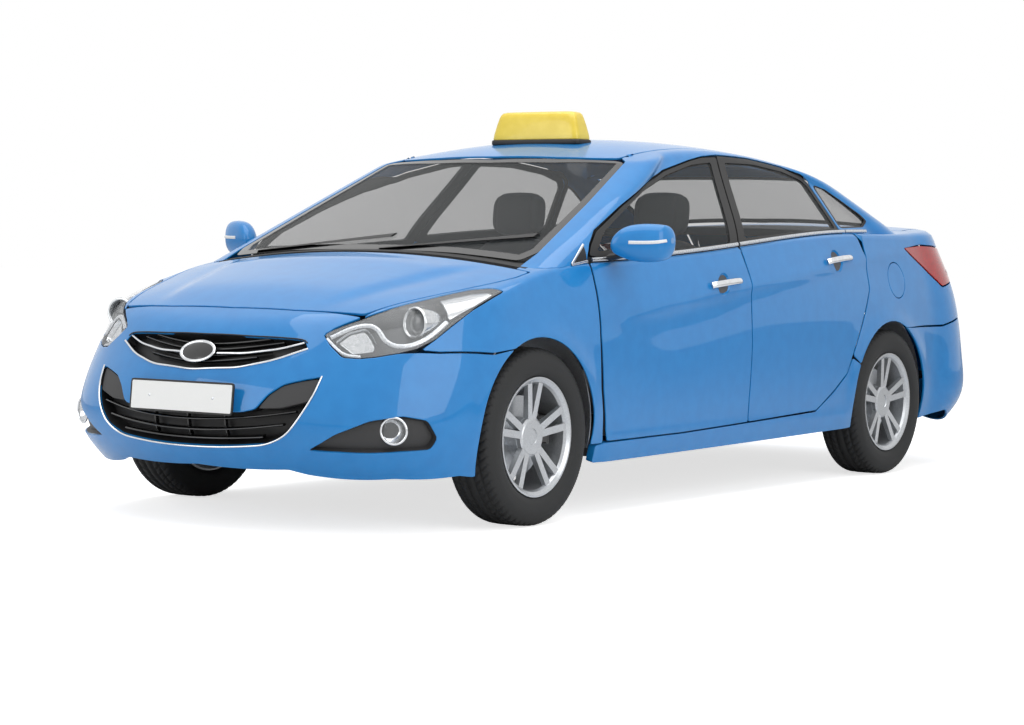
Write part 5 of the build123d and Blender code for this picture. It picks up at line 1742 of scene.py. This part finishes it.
    def plates(self) -> None:
        """Blank white plates with a black rim and two screws each."""
        hold = Build()
        for word, origin, u, v in (("front", (0, -2380.0, 476), (1.0, 0, 0), (0, 0.1, 0.995)),
                                   ("rear", (0, 2366.0, 560), (-1.0, 0, 0), (0, 0, 1.0))):
            flat = plane_patch(np.array(origin, float), np.array(u), np.array(v), half_u=300, half_v=90)
            a, b = self.plate_half
            loop = round_line([(-a, -b), (a, -b), (a, b), (-a, b)], step=10, radius=12)
            inner = loop - loop_normals(loop) * 7
            sheet = Sheet(flat, inner, spacing=40, roll=0.8, depth=3.0, lift=1.0).build()
            sheet.make(f"plate_blank_{word}", PLATE, SHELL, "plate_white",
                       "number_plates" if word == "front" else "")
            rim = Sheet(flat, loop, holes=[inner], spacing=30, roll=1.2, depth=7.0, lift=1.4).build()
            rim.make(f"plate_rim_{word}", TRIM, SHELL, "dark_plastic")
            way = flat.normals[4, 4]
            for x in (-150, 150):
                share = np.linspace(1, 0, 8)
                head = lathe(np.stack([1.0 + 1.2 * np.sqrt(1 - share ** 2), 0.2 + 5 * share], 1),
                             np.array(origin) + np.array([x, 0, 0]), way, segments=20)
                hold = hold.joined(head)
        hold.make("plate_screws", SATIN, SHELL, "steel")

    def build(self) -> None:
        """Makes the grilles and plates."""
        self.upper()
        self.lower()
        self.plates()


# ---- fittings on the doors and roof -------------------------------------------------------------------


@dataclass
class Fittings:
    """Door mirrors, handles and the roof sign."""

    body: CarBody
    cup_r: float = 47.0
    cup_depth: float = 22.0
    sign_y: float = -170.0
    sign_power: float = 7.0
    # Share of the length, x, low and high y, low and high z of the mirror's sections.
    mirror_rows: tuple = ((0.0, 892, -1010, -950, 1000, 1040), (0.15, 922, -1010, -925, 982, 1078),
                          (0.4, 978, -994, -890, 963, 1102), (0.7, 1042, -966, -860, 962, 1104),
                          (0.9, 1082, -940, -842, 978, 1096), (1.0, 1097, -925, -838, 1000, 1085))

    def mirrors(self) -> None:
        """The mirror housings with glass, foot and indicator strip."""
        at = np.linspace(0, 1, 34)
        s = (1 - np.cos(np.pi * at)) / 2
        knots = np.array(self.mirror_rows, float)
        x, y_low, y_high, z_low, z_high = spline_columns(knots[:, 0], knots[:, 1:], s).T
        angle = around(40)
        y_shape = bent(np.cos(angle), 0.8)
        z_shape = bent(np.sin(angle), 0.85)
        end = np.sqrt(np.clip(1 - np.clip((s - 0.86) / 0.145, 0, 1) ** 2, 0, 1))
        end = end * np.sqrt(np.clip(1 - np.clip((0.10 - s) / 0.105, 0, 1) ** 2, 0, 1))
        half_y, half_z = end * (y_high - y_low) / 2, end * (z_high - z_low) / 2
        rings = np.stack([np.repeat(x[:, None], 40, 1),
                          ((y_low + y_high) / 2)[:, None] + half_y[:, None] * y_shape,
                          ((z_low + z_high) / 2)[:, None] + half_z[:, None] * z_shape], -1)
        housing = loft_rings(rings)
        body = "front_door_{}_body"
        both_sides(housing, "mirror_housing", PAINT, body, "body_paint")
        middle = rings[14:-4]
        strip = np.stack([middle[:, 18], middle[:, 22]]).mean(0)
        strip = strip + np.array([0.0, -2.0, 2.0])
        form = ribbon(strip, np.array([0.2, -1.0, 0.1]), half_width=6.5, bulge=3.0)
        both_sides(form, "mirror_indicator", INDICATOR, body, "lamp_clear")
        glass = plane_patch(np.array([1030, -858.0, 1033]), np.array([-0.96, -0.28, 0]),
                            np.array([0, 0, 1.0]), half_u=90, half_v=70)
        loop = round_line([(-58, -38), (56, -44), (60, 36), (-52, 48)], step=8, radius=24)
        form = Sheet(glass, loop, spacing=30, roll=1, depth=3).build()
        both_sides(form, "mirror_glass", REFLECTOR, body, "glass")
        t = np.linspace(0, 1, 10)[:, None]
        path = np.array([852.0, -925.0, 978.0]) + t * np.array([120.0, 36.0, 26.0])
        wide = np.linspace(34, 22, 10)[:, None, None]
        ring_angle = around(24)
        foot = path[:, None, :] + np.stack([np.zeros(24), np.cos(ring_angle), 0.42 * np.sin(ring_angle)],
                                           -1) * wide
        both_sides(loft_rings(foot), "mirror_foot", TRIM, body, "dark_plastic")

    def door_handles(self) -> None:
        """Pull handles over round cups, which are dished skins set into holes in the door."""
        patch = self.body.side
        where = patch.side_mask(500, 0.3)
        for word, (y, z) in HANDLES.items():
            body = word + "_door_{}_body"
            line = patch.loop([(None, y - 108, z - 7), (None, y, z), (None, y + 112, z + 8)], step=8,
                              radius=30, where=where, closed=False)
            points, normals = patch.read(line)
            share = np.linspace(0, 1, len(points))
            lift = 7 + 24 * np.sin(np.pi * share) ** 0.45
            bar = ribbon(points + normals * lift[:, None], normals, half_width=13.0, bulge=7.5)
            both_sides(bar, f"door_handle_{word}", CHROME, body, "steel")
            centre = patch.place(np.array([[np.nan, y - 8, z - 2]]), where)[0]
            both_sides(dish(patch, centre, radius=self.cup_r, depth=self.cup_depth), f"handle_cup_{word}",
                       PAINT, body, "body_paint")

    def sign(self) -> None:
        """The roof sign: a blank yellow lantern on a black base."""
        def ring(z: float, half_x: float, half_y: float, power: float) -> Array:
            """A rounded-rectangle ring by a superellipse."""
            a = around(96)
            x = half_x * bent(np.cos(a), 2 / power)
            y = half_y * bent(np.sin(a), 2 / power)
            return np.stack([x, self.sign_y + y, np.full_like(a, z)], 1)

        rows = ((1458, 217, 59), (1462, 219, 61), (1480, 216, 59), (1520, 205, 52), (1548, 196, 46),
                (1562, 190, 41), (1570, 182, 35), (1574, 168, 26), (1575.5, 140, 16))
        lantern = loft_rings(np.stack([ring(z, a, b, self.sign_power) for z, a, b in rows]))
        lantern.make("roof_sign_lantern", SIGN, SHELL, "sign_yellow", "roof_sign")
        base_rows = ((1436, 221, 62), (1440, 224.5, 65.5), (1452, 224.5, 65.5), (1457, 222, 63),
                     (1459, 214, 56))
        base = loft_rings(np.stack([ring(z, a, b, self.sign_power) for z, a, b in base_rows]))
        base.make("roof_sign_base", TRIM, SHELL, "dark_plastic")

    def build(self) -> None:
        """Makes the fittings."""
        self.mirrors()
        self.door_handles()
        self.sign()


# ---- wheels -------------------------------------------------------------------------------------------


@dataclass
class Wheels:
    """Tyres with tread, wheel bolts and plain centre caps."""

    body: CarBody
    radius: float = 326.0
    middle_x: float = 790.0
    half_width: float = 101.0
    bead: float = 220.0
    groove: float = 6.5
    blocks: int = 64
    steps_round: int = 384
    face_x: float = 860.0
    bolt_count: int = 5
    bolt_circle_r: float = 54.0

    def tyre(self, axle_y: float) -> Build:
        """One tyre.

        The section is a flat tread with rounded shoulders and bulged walls. Grooves run round it, and slanted
        ones cross the shoulders, each as a fall of the radius between soft edges.
        """
        half, r = self.half_width, self.radius
        flank = np.array([(82, self.bead), (96, 236), (half, 262), (half, 280), (95, 301), (86, 315),
                          (74, 322), (55, 325)], float)
        section = np.concatenate([flank * [-1, 1], [(0, r)], flank[::-1]])
        run = np.concatenate([[0], np.cumsum(np.hypot(*np.diff(section, axis=0).T))])
        wall = np.linspace(0, run[5], 14)
        tread = np.linspace(run[5], run[-6], 38)[1:-1]
        at = np.concatenate([wall, tread, run[-1] - wall[::-1]])
        profile = spline_columns(run, section, at)
        angle = around(self.steps_round)
        x, radius = profile[:, :1], profile[:, 1:]
        fall = sum(ease(-np.abs(x - place), -7.5, -4.5) for place in (-52, -18, 18, 52))
        slant = (angle[None] * self.blocks / (2 * np.pi) + np.abs(x) / 46) % 1.0
        cross = ease(-np.abs(slant - 0.5), -0.14, -0.08)
        cross = cross * ease(np.abs(x), 20, 26) * (1 - ease(np.abs(x), 84, 92))
        depth = self.groove * np.clip(fall + 0.8 * cross, 0, 1) * ease(radius, 308, 316)
        size = radius - depth
        grid = np.stack([self.middle_x + x + 0 * angle[None], axle_y + size * np.cos(angle),
                         self.body.axle_z + size * np.sin(angle)], -1)
        result = Build()
        result.add_grid(grid, closed=True, flip=False)
        return result

    def hub(self, axle_y: float) -> tuple[Build, Build]:
        """A centre cap and five wheel bolts."""
        centre = np.array([self.face_x, axle_y, self.body.axle_z])
        way = np.array([1.0, 0, 0])
        share = np.linspace(0, 1, 10)
        cap = lathe(np.stack([-14 + 4 * np.sqrt(1 - 0.98 * share ** 2), 0.3 + 31 * share], 1)[::-1], centre,
                    way, segments=40)
        bolts = Build()
        for turn in np.arange(self.bolt_count) * 2 * np.pi / self.bolt_count + np.pi / 2:
            spot = centre + np.array([-26, self.bolt_circle_r * np.cos(turn),
                                      self.bolt_circle_r * np.sin(turn)])
            bolts = bolts.joined(lathe(np.array([(0, 9.5), (9, 9.5), (11, 8), (11, 5), (4, 4.6), (4, 0.3)]),
                                       spot, way, segments=12))
        return cap, bolts

    def build(self) -> None:
        """Makes the wheels' pieces."""
        for word, y in (("front", self.body.axle_front), ("rear", self.body.axle_rear)):
            body = word + "_wheel_{}_body"
            both_sides(self.tyre(y), f"tyre_tread_{word}", RUBBER, body, "tyre", f"tyre_{word}_{{}}")
            cap, bolts = self.hub(y)
            both_sides(cap, f"wheel_cap_{word}", ALLOY, body, "alloy")
            both_sides(bolts, f"wheel_bolts_{word}", IRON, body, "steel")


# ---- cabin --------------------------------------------------------------------------------------------


@dataclass
class Interior:
    """Seats and headrests as sewn cushions, over the plain solids of the part."""

    seam: float = 5.0

    def cushion(self, name: str, low: tuple, high: tuple, flutes: int, lean: float = 0.0,
                node: str = "") -> None:
        """One cushion with piping grooves across its long faces.

        The grooves are falls of the seam depth times a Gaussian of the distance to each seam line, along the
        cushion's own middle faces.

        Args:
            name: The piece's name.
            low: Lower corner.
            high: Upper corner.
            flutes: How many seams run across its width.
            lean: How far its top leans back.
            node: The node it replaces, if any.
        """
        def crown(unit: Array, grid: Array) -> Array:
            """Seams and a slow bulge."""
            lines = np.linspace(-0.72, 0.72, flutes)
            gap = np.min(np.abs(unit[..., :1] - lines), axis=-1)
            dip = -self.seam * np.exp(-(gap / 0.035) ** 2)
            side = 5.0 * np.cos(unit[..., 0] * np.pi / 2)
            shift = np.zeros_like(grid)
            shift[..., 1] = lean * (unit[..., 2] + 1) / 2
            shift[..., :3] += unit / np.maximum(np.linalg.norm(unit, axis=-1, keepdims=True), 1e-6) * (
                dip + side)[..., None]
            return shift

        grid = pad_form(low, high, power=3.6, rows=56, cols=96, crown=crown)
        build = Build()
        build.add_grid(grid, closed=True)
        piece = build.make(name, CLOTH, SHELL, "seat_fabric", node)

    def build(self) -> None:
        """Makes the seats."""
        for side in Side:
            k = side.value
            span = sorted((k * 128, k * 612))
            node = "front_seats" if side is Side.LEFT else ""
            self.cushion(f"seat_cushion_{side.word}", (span[0], -448, 330), (span[1], 60, 500), flutes=4,
                         node=node)
            self.cushion(f"seat_back_{side.word}", (span[0] + 8, -20, 440), (span[1] - 8, 110, 1040),
                         flutes=4, lean=150)
            rest = sorted((k * 245, k * 495))
            self.cushion(f"headrest_{side.word}", (rest[0], 140, 1060), (rest[1], 240, 1240), flutes=2,
                         lean=20)
        self.cushion("rear_cushion", (-620, 420, 330), (620, 900, 500), flutes=5, node="rear_seat")
        self.cushion("rear_back", (-620, 800, 440), (620, 920, 1010), flutes=5, lean=120)


@dataclass
class Retained:
    """Better materials for the part's own solids that stay visible."""

    table: tuple = (
        ("wheel_", ALLOY), ("knuckle_", IRON), ("wheel_liners", UNDERBODY), ("floor_pan", UNDERBODY),
        ("front_subframe", UNDERBODY), ("rear_axle", UNDERBODY), ("engine_block", IRON), ("exhaust", EXHAUST),
        ("dashboard", GRAIN), ("rear_shelf", GRAIN), ("wipers", TRIM))

    def build(self) -> None:
        """Sets the materials in the objects' own slots."""
        for name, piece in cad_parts.items():
            for start, finish in self.table:
                if name.startswith(start):
                    for slot in piece.material_slots:
                        slot.link = "OBJECT"
                        slot.material = finish.build()
                    break


# ---- studio -------------------------------------------------------------------------------------------


@dataclass
class Studio:
    """Pale floor and backdrop, soft lamps and the camera."""

    position: tuple = (6.144, -9.041, 1.056)
    azimuth: float = 35.45
    elevation: float = 2.85
    roll: float = 0.64
    lens: float = 89.88
    shift_x: float = 0.0065
    world_light: float = 0.42
    floor_glow: float = 0.7

    def camera(self) -> None:
        """Creates the camera."""
        az, el, roll = (np.radians(v) for v in (self.azimuth, self.elevation, self.roll))
        ahead = np.array([-np.sin(az) * np.cos(el), np.cos(az) * np.cos(el), -np.sin(el)])
        right = np.array([np.cos(az), np.sin(az), 0.0])
        up = np.cross(right, ahead)
        right, up = right * np.cos(roll) + up * np.sin(roll), up * np.cos(roll) - right * np.sin(roll)
        data = bpy.data.cameras.new("camera")
        data.lens, data.sensor_width, data.sensor_fit = self.lens, 36.0, "HORIZONTAL"
        data.shift_x = self.shift_x
        data.clip_end = 200.0
        camera = bpy.data.objects.new("camera", data)
        matrix = np.eye(4)
        matrix[:3, 0], matrix[:3, 1], matrix[:3, 2], matrix[:3, 3] = right, up, -ahead, self.position
        camera.matrix_world = Matrix(matrix.tolist())
        bpy.context.scene.collection.objects.link(camera)
        bpy.context.scene.camera = camera

    def floor(self) -> None:
        """A wide pale floor that keeps the car's shadow and looks white to camera and glass."""
        ring = around(64)
        reach = np.array([0.02, 1, 3, 6, 12, 25, 60]) * 1000
        grid = np.stack([reach[:, None] * np.cos(ring), reach[:, None] * np.sin(ring),
                         np.zeros((len(reach), len(ring)))], -1)
        build = Build()
        build.add_grid(grid, closed=True, flip=True)
        mesh = bpy.data.meshes.new("studio_floor")
        mesh.from_pydata((np.concatenate(build.points) * MM).tolist(), [], build.faces)
        mesh.update()
        material = bpy.data.materials.new("painted_studio_floor_white")
        material.use_nodes = True
        tree = material.node_tree
        tree.nodes.clear()
        place = add_node(tree, "ShaderNodeTexCoord")
        noise = add_node(tree, "ShaderNodeTexNoise", None, {"Vector": place.outputs["Object"], "Scale": 3.0})
        tone = add_node(tree, "ShaderNodeValToRGB", None, {"Fac": noise.outputs["Fac"]})
        tone.color_ramp.elements[0].color = linear("F5F5F5")
        tone.color_ramp.elements[1].color = linear("F8F8F8")
        matt = add_node(tree, "ShaderNodeBsdfDiffuse", None, {"Color": tone.outputs["Color"]})
        glow = add_node(tree, "ShaderNodeEmission", None,
                        {"Color": linear("FFFFFF"), "Strength": self.seen_ray(tree, self.floor_glow, False)})
        total = add_node(tree, "ShaderNodeAddShader", None, {0: matt.outputs["BSDF"], 1: glow.outputs[0]})
        out = add_node(tree, "ShaderNodeOutputMaterial", None, {"Surface": total.outputs["Shader"]})
        tree.nodes.active = out
        mesh.materials.append(material)
        piece = bpy.data.objects.new("studio_floor", mesh)
        bpy.context.scene.collection.objects.link(piece)

    def seen_ray(self, tree: bpy.types.NodeTree, strength: float, gloss: bool = True) -> bpy.types.NodeSocket:
        """A strength for camera, transmission and perhaps glossy rays, and nought for lighting rays."""
        path = add_node(tree, "ShaderNodeLightPath")
        first = add_node(tree, "ShaderNodeMath", {"operation": "MAXIMUM"}, {
            0: path.outputs["Is Camera Ray"], 1: path.outputs["Is Glossy Ray" if gloss else "Is Camera Ray"]})
        both = add_node(tree, "ShaderNodeMath", {"operation": "MAXIMUM"}, {
            0: first.outputs[0], 1: path.outputs["Is Transmission Ray"]})
        scaled = add_node(tree, "ShaderNodeMath", {"operation": "MULTIPLY"},
                          {0: both.outputs[0], 1: strength})
        return scaled.outputs[0]

    def lamps(self) -> None:
        """Large soft lamps over the car and at the camera's side, and an even pale world."""
        world = bpy.data.worlds.new("studio")
        world.use_nodes = True
        tree = world.node_tree
        tree.nodes.clear()
        seen = self.seen_ray(tree, 1.0 - self.world_light)
        level = add_node(tree, "ShaderNodeMath", {"operation": "ADD"}, {0: seen, 1: self.world_light})
        soft = add_node(tree, "ShaderNodeBackground", None, {"Color": linear("FFFFFF"),
                                                            "Strength": level.outputs[0]})
        add_node(tree, "ShaderNodeOutputWorld", None, {"Surface": soft.outputs["Background"]})
        bpy.context.scene.world = world
        for name, place, aim, size, power in (
                ("lamp_over", (0.5, -1.0, 6.0), (0.0, 0.0, 0.5), 7.0, 300),
                ("lamp_side", (7.5, -3.0, 3.4), (0.3, 0.0, 0.8), 5.0, 180),
                ("lamp_front", (-3.5, -8.5, 3.2), (0.0, -1.5, 0.7), 4.5, 135)):
            data = bpy.data.lights.new(name, "AREA")
            data.shape, data.size, data.energy = "SQUARE", size, power
            lamp = bpy.data.objects.new(name, data)
            lamp.location = place
            way = Vector(aim) - Vector(place)
            lamp.rotation_euler = way.to_track_quat("-Z", "Y").to_euler()
            bpy.context.scene.collection.objects.link(lamp)

    def build(self) -> None:
        """Makes the studio."""
        bpy.context.scene.view_settings.view_transform = "Standard"
        self.camera()
        self.floor()
        self.lamps()


def main() -> None:
    """Builds every sub-assembly in order."""
    body = CarBody()
    for job in (Panels(body), Greenhouse(body), Lamps(body), Grilles(body), Fittings(body), Wheels(body),
                Interior(), Retained(), Studio()):
        job.build()
        LOG.info("built %s", type(job).__name__)


if __name__ == "__main__":
    main()
